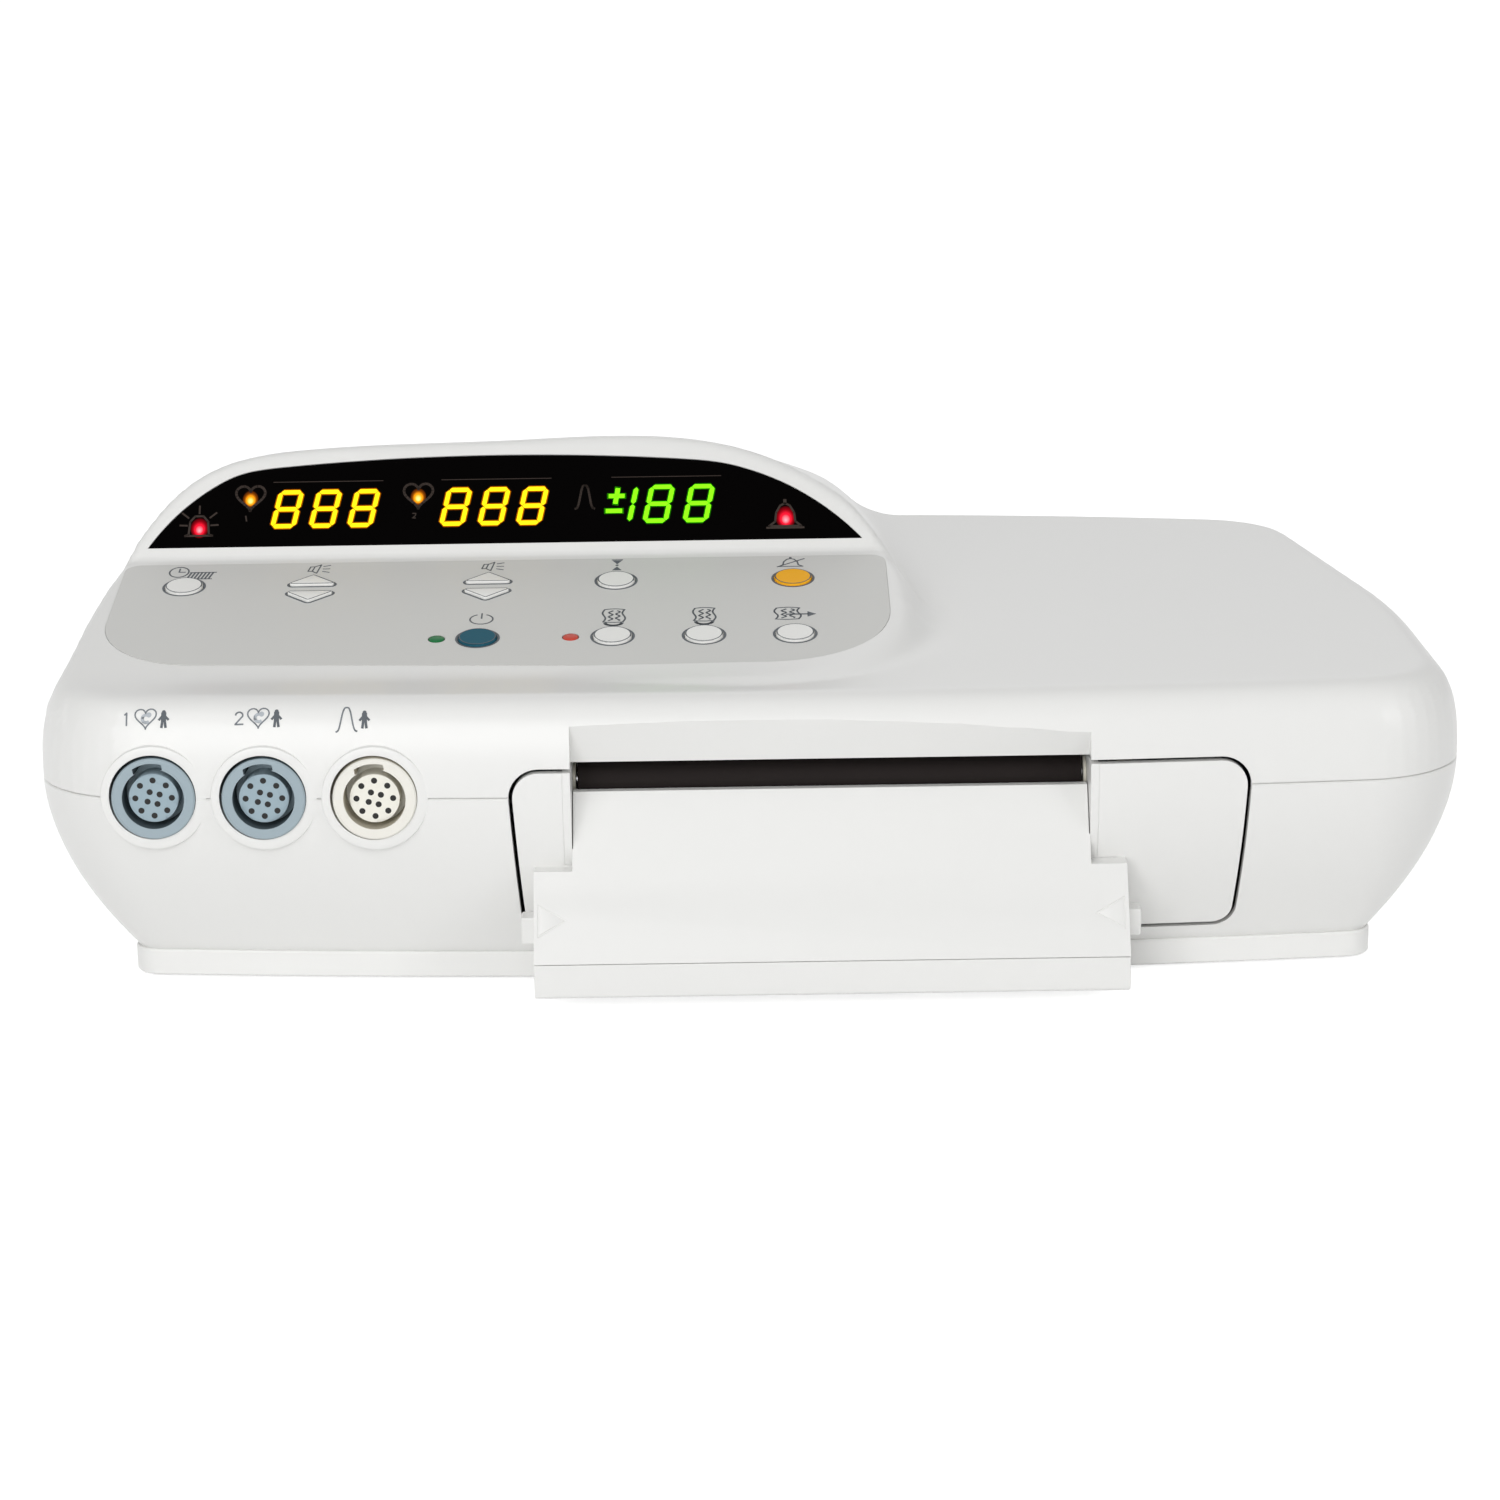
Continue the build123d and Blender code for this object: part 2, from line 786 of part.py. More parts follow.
def drawer_front():
    """Door of the paper drawer, cut from the body's own skin so that it lies flush."""
    skin = body_skin - (belly(door_wall) + shoulder(door_wall))
    door = skin & slab(door_plan(0), front_y - overrun, cheek_back)
    notch = block(tray_left, tray_right, front_y - overrun, cheek_back, notch_foot,
                  deck_height)
    return door - notch


def keel(x, growth):
    """Profile of a drawer's keel in X and Z: a stem with a wider foot."""
    top = tray_floor + growth
    stem = keel_width / 2 + growth
    foot = keel_foot_width / 2 + growth
    low = tray_floor - keel_drop - growth
    shelf = low + keel_foot_height + 2 * growth
    return shape([
        (x - foot, low), (x + foot, low), (x + foot, shelf), (x + stem, shelf),
        (x + stem, top), (x - stem, top), (x - stem, shelf), (x - foot, shelf),
    ])


keel_places = [tray_left + keel_inset, tray_right - keel_inset]


def paper_tray(door):
    """Well for the paper pack, with two cheeks that carry the roller, and two keels."""
    side = shape([
        (front_y - overrun, tray_floor), (front_y - overrun, door_top),
        (cheek_back, door_top), (cheek_back + door_top - tray_rim, tray_rim),
        (tray_back, tray_rim), (tray_back, tray_floor),
    ])
    tray = plate(side, tray_left, slot_left) + plate(side, slot_right, tray_right)
    floor = block(tray_left, tray_right, front_y - overrun, tray_back, tray_floor,
                  tray_floor + tray_wall)
    back = block(tray_left, tray_right, tray_back - tray_wall, tray_back, tray_floor, tray_rim)
    front = block(tray_left, tray_right, well_front - tray_wall, well_front, tray_floor,
                  tray_rim - tray_wall)
    tray = (tray + floor + back + front) & body_skin
    for x in keel_places:
        tray = tray + slab(keel(x, 0), door_inner_y + keel_set_back, tray_back)
    tray = tray - rod(tray_left - overrun, tray_right + overrun, roller_y, roller_height,
                      bush_radius)
    return tray - door


def drawer_runners():
    """Two rails on the chassis that hold the keels and let the drawer slide."""
    rails = []
    for x in keel_places:
        half = keel_foot_width / 2 + slip + rail_wall
        body = block(x - half, x + half, tray_back - rail_length, tray_back, chassis_top,
                     tray_floor - slip)
        rails.append(body - slab(keel(x, slip), front_y - overrun, tray_back + overrun))
    return Compound(children=rails)


apron_tilt = degrees(atan2(slot_foot - lip_top, slot_y + total_depth / 2))
apron_face = slope(-total_depth / 2, lip_top, apron_tilt)
latch_back = front_y + latch_set_back
rib_place = latch_length - latch_stand + latch_spring_gap


def apron_end(side):
    """Outer face of the apron at one end: -1 for the left, 1 for the right."""
    return apron_left if side < 0 else apron_right


def ends_block(side, outer, inner, y_low, y_high, z_low, z_high):
    """Block at one end of the apron, its X measured outwards from the apron's end."""
    x = sorted((apron_end(side) + side * outer, apron_end(side) + side * inner))
    return block(x[0], x[1], y_low, y_high, z_low, z_high)


def latch_body(side, growth, travel):
    """Finger block of a latch, or the room that it needs over its travel."""
    return ends_block(side, latch_stand + growth, latch_stand - latch_length - travel - growth,
                      latch_back - latch_depth - growth, latch_back + growth,
                      latch_foot - growth, latch_foot + latch_height + growth)


def latch(side):
    """Squeeze latch: a finger block with soft edges that slides into the apron."""
    body = latch_body(side, 0, 0)
    finger = body.faces().sort_by(Axis.X)[0 if side < 0 else -1]
    return fillet(finger.edges(), latch_edge_radius)


def latch_spring(side):
    """Bent leaf between the inner end of a latch and the apron's rib."""
    start = apron_end(side) + side * (latch_stand - latch_length - running)
    length = latch_spring_gap - 2 * running
    stop = start - side * length
    front = latch_back - latch_depth + latch_edge_radius
    back = latch_back - latch_edge_radius
    middle = (front + back) / 2
    inner = stop + side * latch_spring_thickness * length / (back - middle)
    leaf = shape([
        (start, front), (stop, middle), (start, back), (start, back - latch_spring_thickness),
        (inner, middle), (start, front + latch_spring_thickness),
    ])
    low = latch_foot + latch_edge_radius
    return Pos(0, 0, low) * extrude(leaf, latch_height - 2 * latch_edge_radius)


def grip_mark(side):
    """Engraved triangle on the apron that points inwards from a latch."""
    tip = -side * mark_depth_along
    outer = shape([(0, 0), (0, mark_height), (tip, mark_height / 2)])
    line = outer - offset(outer, -mark_line)
    place = Pos(apron_end(side) - side * mark_inset, mark_rise)
    return on(apron_face, place * line, -mark_groove, overrun)


def paper_apron():
    """Sloping chute under the slot: a plate between the cheeks, and a wider hood below."""
    deep = slot_y + overrun
    toe = (-total_depth / 2, lip_top)
    top = (slot_y, slot_foot)
    thickness_y = apron_wall / sin(radians(apron_tilt))
    profile = shape([top, toe, (deep, lip_top), (deep, slot_foot)])
    hollow = shape([(top[0] + thickness_y, top[1]), (toe[0] + thickness_y, toe[1]),
                    (deep, lip_top), (deep, slot_foot)])
    sheet = shape([top, toe, (toe[0] + thickness_y, toe[1]), (top[0] + thickness_y, top[1])])
    wide = plate(profile, apron_left, apron_right)
    wide = wide - plate(hollow, apron_left + apron_wall, apron_right - apron_wall)
    for side in (-1, 1):
        rib = plate(profile, *sorted((apron_end(side) - side * rib_place,
                                      apron_end(side) - side * (rib_place + apron_wall))))
        wide = wide + (rib & block(apron_left, apron_right, -total_depth, latch_back,
                                   lip_top, latch_foot + latch_height))
    wide = wide - body_skin
    chute = plate(sheet, slot_left + slip, slot_right - slip)
    chute = chute & block(slot_left, slot_right, -total_depth, deep, notch_foot + slip,
                          slot_foot)
    apron = wide + chute
    for side in (-1, 1):
        apron = apron - latch_body(side, slip, latch_travel) - grip_mark(side)
    return apron


def tray_lip():
    """Trough under the apron that catches the paper's edge, clear of the foot band."""
    front = -total_depth / 2
    low = lip_top - seam_gap / 2 - lip_height
    body = block(apron_left, apron_right, front, front_y + lip_depth, low, lip_top - seam_gap / 2)
    body = fillet(body.faces().sort_by(Axis.Y)[0].edges().group_by(Axis.Z)[0], lip_edge_radius)
    inside = block(apron_left + apron_wall, apron_right - apron_wall, front + apron_wall,
                   front_y + overrun, low + apron_wall, lip_top + overrun)
    around = belly(-lip_clearance) + plinth(-lip_clearance, 0, 0)
    return (body - inside) - around


def gear_plan(teeth, phase):
    """Spur gear outline: each flank runs through two points of the true involute."""
    pitch = gear_module * teeth / 2
    base = pitch * cos(radians(pressure_angle))
    half_tooth = pi / (2 * teeth) - gear_backlash / (4 * pitch)

    def involute(radius):
        angle = acos(min(1, base / radius))
        return tan(angle) - angle

    def tooth_half(radius):
        return half_tooth + involute(pitch) - involute(radius)

    tip = pitch + addendum_share * gear_module
    root = pitch - dedendum_share * gear_module
    levels = [(root, tooth_half(base)), (pitch, tooth_half(pitch)), (tip, tooth_half(tip))]
    corners = [(radius, -width) for radius, width in levels]
    corners += [(radius, width) for radius, width in reversed(levels)]
    points = []
    for n in range(teeth):
        centre = phase + 2 * pi * n / teeth
        for radius, turn in corners:
            points.append((radius * cos(centre + turn), radius * sin(centre + turn)))
    return shape(points)


def mesh_phase(teeth, partner_teeth, partner_phase, angle):
    """Phase of a gear that meshes with its partner, seen at an angle from the partner."""
    partner_step = 2 * pi / partner_teeth
    step = 2 * pi / teeth
    along = ((angle - partner_phase) / partner_step) % 1
    return angle + pi + along * step + step / 2


def pitch_radius(teeth):
    """Pitch radius of a gear in the roller's train."""
    return gear_module * teeth / 2


idler_y = roller_y + pitch_radius(roller_teeth) + pitch_radius(idler_teeth)
motor_reach = pitch_radius(idler_teeth) + pitch_radius(pinion_teeth)
motor_y = idler_y + motor_reach * cos(radians(motor_angle))
motor_z = roller_height + motor_reach * sin(radians(motor_angle))
roller_phase = 0.0
idler_phase = mesh_phase(idler_teeth, roller_teeth, roller_phase, 0.0)
pinion_phase = mesh_phase(pinion_teeth, idler_teeth, idler_phase, radians(motor_angle))


def gear(teeth, phase, y, z, bore):
    """Gear on an axle along X, with its bore."""
    face = gear_plan(teeth, phase)
    if bore:
        face = face - Circle(bore)
    return plate(Pos(y, z) * face, gear_low, gear_high)


def roller_bushes():
    """Flanged bearings for the roller's shaft, one in each cheek."""
    bushes = []
    for wall_in, wall_out, side in ((slot_left, tray_left, 1), (slot_right, tray_right, -1)):
        sleeve = rod(*sorted((wall_in, wall_out - side * bush_proud)), roller_y, roller_height,
                     bush_radius)
        rim = rod(*sorted((wall_in, wall_in + side * bush_flange)), roller_y, roller_height,
                  bush_radius + bush_flange)
        bore = rod(slot_left - overrun, slot_right + overrun, roller_y, roller_height,
                   shaft_radius + running)
        bushes.append(sleeve + rim - bore)
    return Compound(children=bushes)


def platen_roller():
    """Rubber sleeve that drives the paper."""
    low = slot_left + bush_flange + roller_end_gap
    high = slot_right - bush_flange - roller_end_gap
    sleeve = rod(low, high, roller_y, roller_height, roller_radius)
    return sleeve - rod(low, high, roller_y, roller_height, shaft_radius)


def platen_shaft():
    """Steel shaft through the roller, both bushes and the roller's gear."""
    return rod(tray_left - bush_proud * 2, gear_high, roller_y, roller_height, shaft_radius)


def gear_bracket():
    """Folded bracket with two upright cheeks that hold the idler and the motor."""
    front = idler_y - pitch_radius(idler_teeth) - gear_module * 2
    inner = block(bracket_x, bracket_x + bracket_sheet, front, front + bracket_length,
                  chassis_top, bracket_height)
    outer = block(plate_x, plate_x + bracket_sheet, front, front + bracket_length,
                  chassis_top, bracket_height)
    floor = block(bracket_x, plate_x + bracket_sheet, front, front + bracket_length,
                  chassis_top, chassis_top + bracket_sheet)
    inner = fillet(inner.edges().filter_by(Axis.X).group_by(Axis.Z)[-1], motor_corner)
    outer = fillet(outer.edges().filter_by(Axis.X).group_by(Axis.Z)[-1], motor_corner)
    bracket = inner + outer + floor
    bracket = bracket - rod(bracket_x, plate_x + bracket_sheet, idler_y, roller_height,
                            idler_pin_radius)
    return bracket - rod(bracket_x - overrun, plate_x + overrun, motor_y, motor_z,
                         motor_boss_radius + slip)


def idler_pin():
    """Fixed pin across both cheeks of the bracket."""
    return rod(bracket_x, plate_x + bracket_sheet, idler_y, roller_height, idler_pin_radius)


def motor_pinion():
    """Small gear on the motor's shaft."""
    shaft = rod(gear_low, plate_x + bracket_sheet + motor_length / 2, motor_y, motor_z,
                shaft_radius)
    return gear(pinion_teeth, pinion_phase, motor_y, motor_z, 0) + shaft


def stepper_motor():
    """Square motor with chamfered corners and a round boss in the bracket."""
    half = motor_size / 2
    face = shape([(-half, -half), (half, -half), (half, half), (-half, half)])
    face = chamfer(face.vertices(), motor_corner)
    start = plate_x + bracket_sheet
    motor = plate(Pos(motor_y, motor_z) * face, start, start + motor_length)
    motor = motor + rod(plate_x + slip, start, motor_y, motor_z, motor_boss_radius)
    return motor - rod(plate_x - overrun, start + motor_length / 2 + slip, motor_y, motor_z,
                       shaft_radius + running)


def head_plane():
    """Plane that touches the roller's upper rear; its local Y climbs towards the front."""
    tilt = radians(head_angle)
    normal = (0, cos(tilt), sin(tilt))
    origin = (0, roller_y + roller_radius * cos(tilt), roller_height + roller_radius * sin(tilt))
    return Plane(origin=origin, x_dir=(-1, 0, 0), z_dir=normal)


def head_block(left, right, low, high, near, far):
    """Block that lies along the print head's plane."""
    points = [(-left, low), (-right, low), (-right, high), (-left, high)]
    return on(head_plane(), shape(points), near, far)


def print_head():
    """Thermal print head: a thin bar with a finned heat sink on its back."""
    left, right = slot_left + wall, slot_right - wall
    half = head_height / 2
    start = head_gap + head_thickness
    head = head_block(left, right, -half, half, head_gap, start)
    head = head + head_block(left, right, -half + sheet_metal, half - sheet_metal, start,
                             start + sink_thickness)
    pitch = (head_height - 2 * sheet_metal) / sink_fins
    for n in range(1, sink_fins):
        place = -half + sheet_metal + n * pitch
        head = head - head_block(left - overrun, right + overrun, place - pitch / 4,
                                 place + pitch / 4, start + sink_thickness / 2,
                                 start + overrun)
    return head


def head_bracket():
    """Beam behind the print head, hung on the left leg and on the gear bracket's side."""
    near = head_gap + head_thickness + sink_thickness
    half = head_height / 2
    beam = head_block(tray_left - bracket_gap, tray_right + bracket_gap, half - beam_height,
                      half + sheet_metal, near, near + bracket_sheet)
    leg = block(tray_left - bracket_gap - bracket_sheet, tray_left - bracket_gap,
                roller_y + roller_radius, roller_y + roller_radius + leg_depth,
                chassis_top, bracket_height)
    return beam + leg


def socket_shell(x):
    """Screw ring and body of a socket, with a bore and a keyway for the plug."""
    face = socket_face(x)
    ledge = face + collar_depth
    shell = bar(x, seam_height, face - ring_proud, ledge, ring_radius)
    shell = shell + bar(x, seam_height, ledge, ledge + ring_flange_thickness,
                        ring_radius + ring_flange)
    shell = shell + bar(x, seam_height, ledge, input_board_y, ring_body_radius)
    rim = shell.faces().sort_by(Axis.Y)[0].outer_wire()
    shell = chamfer(rim.edges(), ring_bevel)
    mouth = face - ring_proud
    shell = shell - bar(x, seam_height, mouth - overrun, mouth + ring_bore_depth,
                        ring_bore_radius)
    notch = Pos(x, seam_height) * Rot(0, 0, keyway_angle) * Pos(
        0, ring_bore_radius + keyway_depth / 2) * Rectangle(keyway_width, 2 * keyway_depth)
    keyway = slab(notch, mouth - overrun, mouth + ring_bore_depth)
    return shell - (keyway & bar(x, seam_height, mouth - overrun, mouth + ring_bore_depth,
                                 ring_bore_radius + keyway_depth))


def socket_core(x):
    """Insert of a socket with a ring of contact holes round a smaller one."""
    face = socket_face(x) - ring_proud
    core = bar(x, seam_height, face + core_set_back, face + ring_bore_depth, core_radius)
    core = core + bar(x, seam_height, face + ring_bore_depth - core_foot,
                      face + ring_bore_depth, ring_bore_radius - running)
    holes = []
    rings = ((contact_outer_count, contact_outer_circle, 0),
             (contact_inner_count, contact_inner_circle, contact_inner_angle))
    for count, circle, turn in rings:
        for n in range(count):
            angle = 2 * pi * n / count + radians(turn)
            place = Pos(x + circle * cos(angle), seam_height + circle * sin(angle))
            holes.append(slab(place * RegularPolygon(contact_radius, contact_sides),
                              face + core_set_back, face + core_set_back + contact_depth))
    return core - holes


def input_board():
    """Upright circuit board behind the sockets."""
    margin = ring_body_radius + wall
    return block(socket_places[0] - margin, socket_places[-1] + margin, input_board_y,
                 input_board_y + board_thickness, seam_height - input_board_height / 2,
                 seam_height + input_board_height / 2)


def key(name):
    """Key cap with a flange that keeps it under the panel."""
    foot = -wall - slip
    top = overlay_thickness - overlay_recess + key_proud
    cap = on(panel, key_plans(0)[name], foot, top)
    cap = chamfer(cap.faces().sort_by(Axis.Z)[-1].edges(), key_bevel)
    return cap + on(panel, key_plans(key_flange)[name], foot - key_flange_thickness, foot)


def keypad_overlay():
    """Thin sheet over the panel, with a hole round each key and each lamp."""
    sheet = on(panel, overlay_plan(0), -overlay_recess, overlay_thickness - overlay_recess)
    cuts = [on(panel, plan, -overrun, overrun) for plan in key_plans(slip).values()]
    for x, s in panel_lamps:
        cuts.append(on(panel, Pos(x, s) * Circle(lamp_radius + slip), -overrun, overrun))
    return sheet - cuts


def switch_board():
    """Board under the keys with a dome for each of them."""
    top = -switch_board_drop
    board = on(panel, overlay_plan(-switch_board_margin), top - board_thickness, top)
    places = list(round_keys.values())
    for x, points_up in arrow_keys.values():
        side = 1 if points_up else -1
        places.append((x, arrow_row + side * (arrow_gap + arrow_height) / 2))
    for x, s in places:
        board = board + on(panel, Pos(x, s) * Circle(dome_radius), top, top + dome_height)
    return board


def display_window():
    """Dark pane, flush with the hood's front."""
    return on(glass, window_plan(0), -window_set_back - window_thickness, -window_set_back)


def display_board():
    """Board behind the window that carries the displays and the lamps."""
    return on(glass, window_plan(-board_margin), -board_drop - board_thickness, -board_drop)


def display(left, width):
    """Numeric display block on the board behind the window."""
    face = Pos(left_side + left, display_sill) * Rectangle(width, display_height,
                                               align=(Align.MIN, Align.MIN))
    return on(glass, face, -board_drop, -board_drop + display_depth)


def indicator_lamps():
    """Round lamps: four behind the window and two in the keypad."""
    lamps = []
    places = [(siren_x, alarm_sill), (bell_x, alarm_sill), (heart_x_1, heart_sill),
              (heart_x_2, heart_sill)]
    for x, w in places:
        lamps.append(on(glass, Pos(left_side + x, w) * Circle(lamp_radius), -board_drop,
                        -board_drop + lamp_length))
    top = overlay_thickness - overlay_recess + panel_lamp_stand
    for x, s in panel_lamps:
        lamp = on(panel, Pos(x, s) * Circle(lamp_radius), -switch_board_drop, top)
        rim = lamp.edges().filter_by(GeomType.CIRCLE).sort_by(Axis.Z)[-1]
        lamps.append(chamfer(rim, panel_lamp_stand))
    return Compound(children=lamps)


def rubber_feet():
    """Four round feet in the pockets of the lower case."""
    return Compound(children=[post(x, y, 0, foot_stand + foot_pocket, foot_radius)
                              for x, y in foot_places])


def case_screws():
    """Screws that hold the two shells together from below."""
    screws = []
    for x, y in boss_places:
        shank = post(x, y, foot_stand, deck_height - 3 * wall, screw_radius)
        screws.append(shank + post(x, y, foot_stand, foot_stand + screw_head_height,
                                   screw_head_radius))
    return Compound(children=screws)


standoff_places = [(x, y)
                   for x in (main_board_left + 2 * standoff_radius,
                             main_board_right - 2 * standoff_radius)
                   for y in (main_board_front + 2 * standoff_radius,
                             main_board_rear - 2 * standoff_radius)]


def chassis_plate():
    """Sheet metal floor with standoffs for the main board."""
    plate_body = block(-chassis_x, chassis_x, chassis_front, chassis_rear, chassis_foot,
                       chassis_top)
    for x, y in standoff_places:
        plate_body = plate_body + post(x, y, chassis_top, chassis_top + standoff_height,
                                       standoff_radius)
    return plate_body - post(speaker_x, speaker_y, chassis_foot, chassis_top,
                             speaker_radius + slip)


def main_board():
    """Processor board with its chips, a heat sink and a row of capacitors."""
    low = chassis_top + standoff_height
    top = low + board_thickness
    board = block(main_board_left, main_board_right, main_board_front, main_board_rear,
                  low, top)
    width = main_board_right - main_board_left
    depth = main_board_rear - main_board_front
    for x_share, y_share, side, height in chip_shares:
        x = main_board_left + x_share * width
        y = main_board_front + y_share * depth
        board = board + block(x, x + side * width, y, y + side * width, top,
                              top + height * width)
    for n in range(capacitor_count):
        board = board + post(main_board_left + standoff_height * (n + 2),
                             main_board_front + standoff_height, top,
                             top + capacitor_height, standoff_radius)
    return board


def power_supply():
    """Closed power supply box with vent slots in its top."""
    right = supply_left + supply_width
    rear = supply_front + supply_depth
    top = chassis_top + supply_height
    box = block(supply_left, right, supply_front, rear, chassis_top, top)
    box = fillet(box.edges().filter_by(Axis.Z), supply_corner_radius)
    for n in range(slot_count):
        y = supply_front + supply_depth / 2 + slot_pitch * (n - (slot_count - 1) / 2)
        box = box - block(supply_left + supply_height / 2, right - supply_height / 2,
                          y - slot_open / 2, y + slot_open / 2, top - wall, top + overrun)
    return box


def speaker():
    """Loudspeaker that faces the slots in the floor: rim, basket, magnet and mouth."""
    low = chassis_foot
    body = post(speaker_x, speaker_y, low, low + wall, speaker_radius)
    basket = post(speaker_x, speaker_y, low + wall, low + speaker_height / 2,
                  speaker_radius - 2 * speaker_rim)
    magnet = post(speaker_x, speaker_y, low + speaker_height / 2, low + speaker_height,
                  speaker_radius / 2)
    mouth = post(speaker_x, speaker_y, low, low + speaker_height / 3,
                 speaker_radius - 3 * speaker_rim)
    return body + basket + magnet - mouth


bay_back = bay_panel_y - bay_wall


def inlet_mouth(growth):
    """Mouth of the mains inlet, with its two lower corners cut off."""
    half_wide = inlet_cavity_width / 2 + growth
    half_high = inlet_cavity_height / 2 + growth
    face = Pos(inlet_x, inlet_z) * Rectangle(2 * half_wide, 2 * half_high)
    return chamfer(face.vertices().group_by(Axis.Y)[0], inlet_corner)


def rear_panel():
    """Metal panel at the end of the rear bay that holds the inlet, the stud and the jacks."""
    sheet = block(-bay_half - bay_wall, bay_half + bay_wall, bay_back - sheet_metal,
                  bay_back, bay_foot - bay_wall, bay_top + bay_wall)
    deep = bay_back - overrun
    sheet = sheet - slab(inlet_mouth(inlet_wall + slip), deep, back_y)
    sheet = sheet - bar(stud_x, inlet_z, deep, back_y, stud_radius + running)
    for x in jack_places:
        sheet = sheet - jack_body(x, slip)
    return sheet


def mains_inlet():
    """Mains inlet with a flange on the panel, a deep mouth and three flat pins."""
    flange = slab(Pos(inlet_x, inlet_z) * Rectangle(inlet_width, inlet_height), bay_back,
                  bay_back + inlet_flange)
    flange = fillet(flange.edges().filter_by(Axis.Y), inlet_corner)
    body = slab(inlet_mouth(inlet_wall), bay_back - inlet_body_depth, bay_back)
    outer = bay_back + inlet_flange
    inlet = flange + body - slab(inlet_mouth(0), outer - inlet_cavity_depth, back_y)
    for x, z in ((-pin_pitch, 0), (0, pin_drop), (pin_pitch, 0)):
        face = Pos(inlet_x + x, inlet_z - pin_drop / 2 + z) * Rectangle(pin_width, pin_height)
        inlet = inlet + slab(face, outer - inlet_cavity_depth, outer - pin_drop)
    return inlet


def ground_stud():
    """Round earth pin with a hexagonal nut on each face of the panel."""
    stud = bar(stud_x, inlet_z, bay_back - sheet_metal - 2 * stud_nut_thickness,
               bay_back + stud_length, stud_radius)
    nut = Pos(stud_x, inlet_z) * RegularPolygon(stud_nut_radius, 6)
    stud = stud + slab(nut, bay_back, bay_back + stud_nut_thickness)
    return stud + slab(nut, bay_back - sheet_metal - stud_nut_thickness,
                       bay_back - sheet_metal)


jack_places = [jack_right - jack_pitch * n for n in reversed(range(jack_count))]


def jack_body(x, growth):
    """Square body of a data jack, reaching through the panel."""
    face = Pos(x, inlet_z) * Rectangle(jack_size + 2 * growth, jack_size + 2 * growth)
    return slab(face, bay_back - jack_depth - growth, bay_back + sheet_metal / 2)


def data_sockets():
    """Row of data jacks with open mouths and a stop behind the panel."""
    jacks = []
    for x in jack_places:
        stop = Pos(x, inlet_z) * Rectangle(jack_size + wall, jack_size + wall)
        jack = jack_body(x, 0) + slab(stop, bay_back - jack_depth, bay_back - sheet_metal)
        mouth = Pos(x, inlet_z) * Rectangle(jack_open_width, jack_open_height)
        notch = Pos(x, inlet_z + jack_open_height / 2) * Rectangle(jack_open_width / 2,
                                                                   jack_open_height / 2)
        jacks.append(jack - slab(mouth + notch, bay_back - jack_depth + wall, back_y))
    return Compound(children=jacks)


pieces = {
    "upper_case": upper_case(),
    "lower_case": lower_case(),
    "rubber_feet": rubber_feet(),
    "case_screws": case_screws(),
    "display_window": display_window(),
    "keypad_overlay": keypad_overlay(),
    "display_board": display_board(),
    "rate_display_1": display(rate_left_1, rate_width),
    "rate_display_2": display(rate_left_2, rate_width),
    "pressure_display": display(pressure_left, rate_width),
    "indicator_lamps": indicator_lamps(),
    "switch_board": switch_board(),
    "input_board": input_board(),
    "chassis_plate": chassis_plate(),
    "drawer_runners": drawer_runners(),
    "main_board": main_board(),
    "power_supply": power_supply(),
    "speaker": speaker(),
    "rear_panel": rear_panel(),
    "mains_inlet": mains_inlet(),
    "ground_stud": ground_stud(),
    "data_sockets": data_sockets(),
    "stepper_motor": stepper_motor(),
    "gear_bracket": gear_bracket(),
    "idler_pin": idler_pin(),
    "print_head": print_head(),
    "head_bracket": head_bracket(),
    "paper_apron": paper_apron(),
    "tray_lip": tray_lip(),
    "roller_bushes": roller_bushes(),
    "left_latch": latch(-1),
    "right_latch": latch(1),
    "left_latch_spring": latch_spring(-1),
    "right_latch_spring": latch_spring(1),
    "platen_roller": platen_roller(),
    "platen_shaft": platen_shaft(),
    "roller_gear": gear(roller_teeth, roller_phase, roller_y, roller_height, shaft_radius),
    "idler_gear": gear(idler_teeth, idler_phase, idler_y, roller_height,
                       idler_pin_radius + running),
    "motor_pinion": motor_pinion(),
}
door = drawer_front()
pieces["drawer_front"] = door
pieces["paper_tray"] = paper_tray(door)
for n, x in enumerate(socket_places):
    pieces[f"receptacle_shell_{n + 1}"] = socket_shell(x)
    pieces[f"receptacle_core_{n + 1}"] = socket_core(x)
for name in key_plans(0):
    pieces[name] = key(name)

os.makedirs("parts", exist_ok=True)
for name, piece in pieces.items():
    export_step(piece, f"parts/{name}.step")
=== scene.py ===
"""Looks of a desktop fetal monitor with a chart recorder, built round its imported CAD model.

Sizes are in millimetres, as in the CAD source, and become metres when a mesh is made. +X is
the user's right, +Y the rear and +Z up. Each sub-assembly is a class that builds its pieces.
"""

import json
import logging
import math
from dataclasses import dataclass
from enum import Enum
from typing import Callable, ClassVar, Sequence

import bmesh
import bpy
import numpy as np
from mathutils import Matrix, Vector
from mathutils.bvhtree import BVHTree

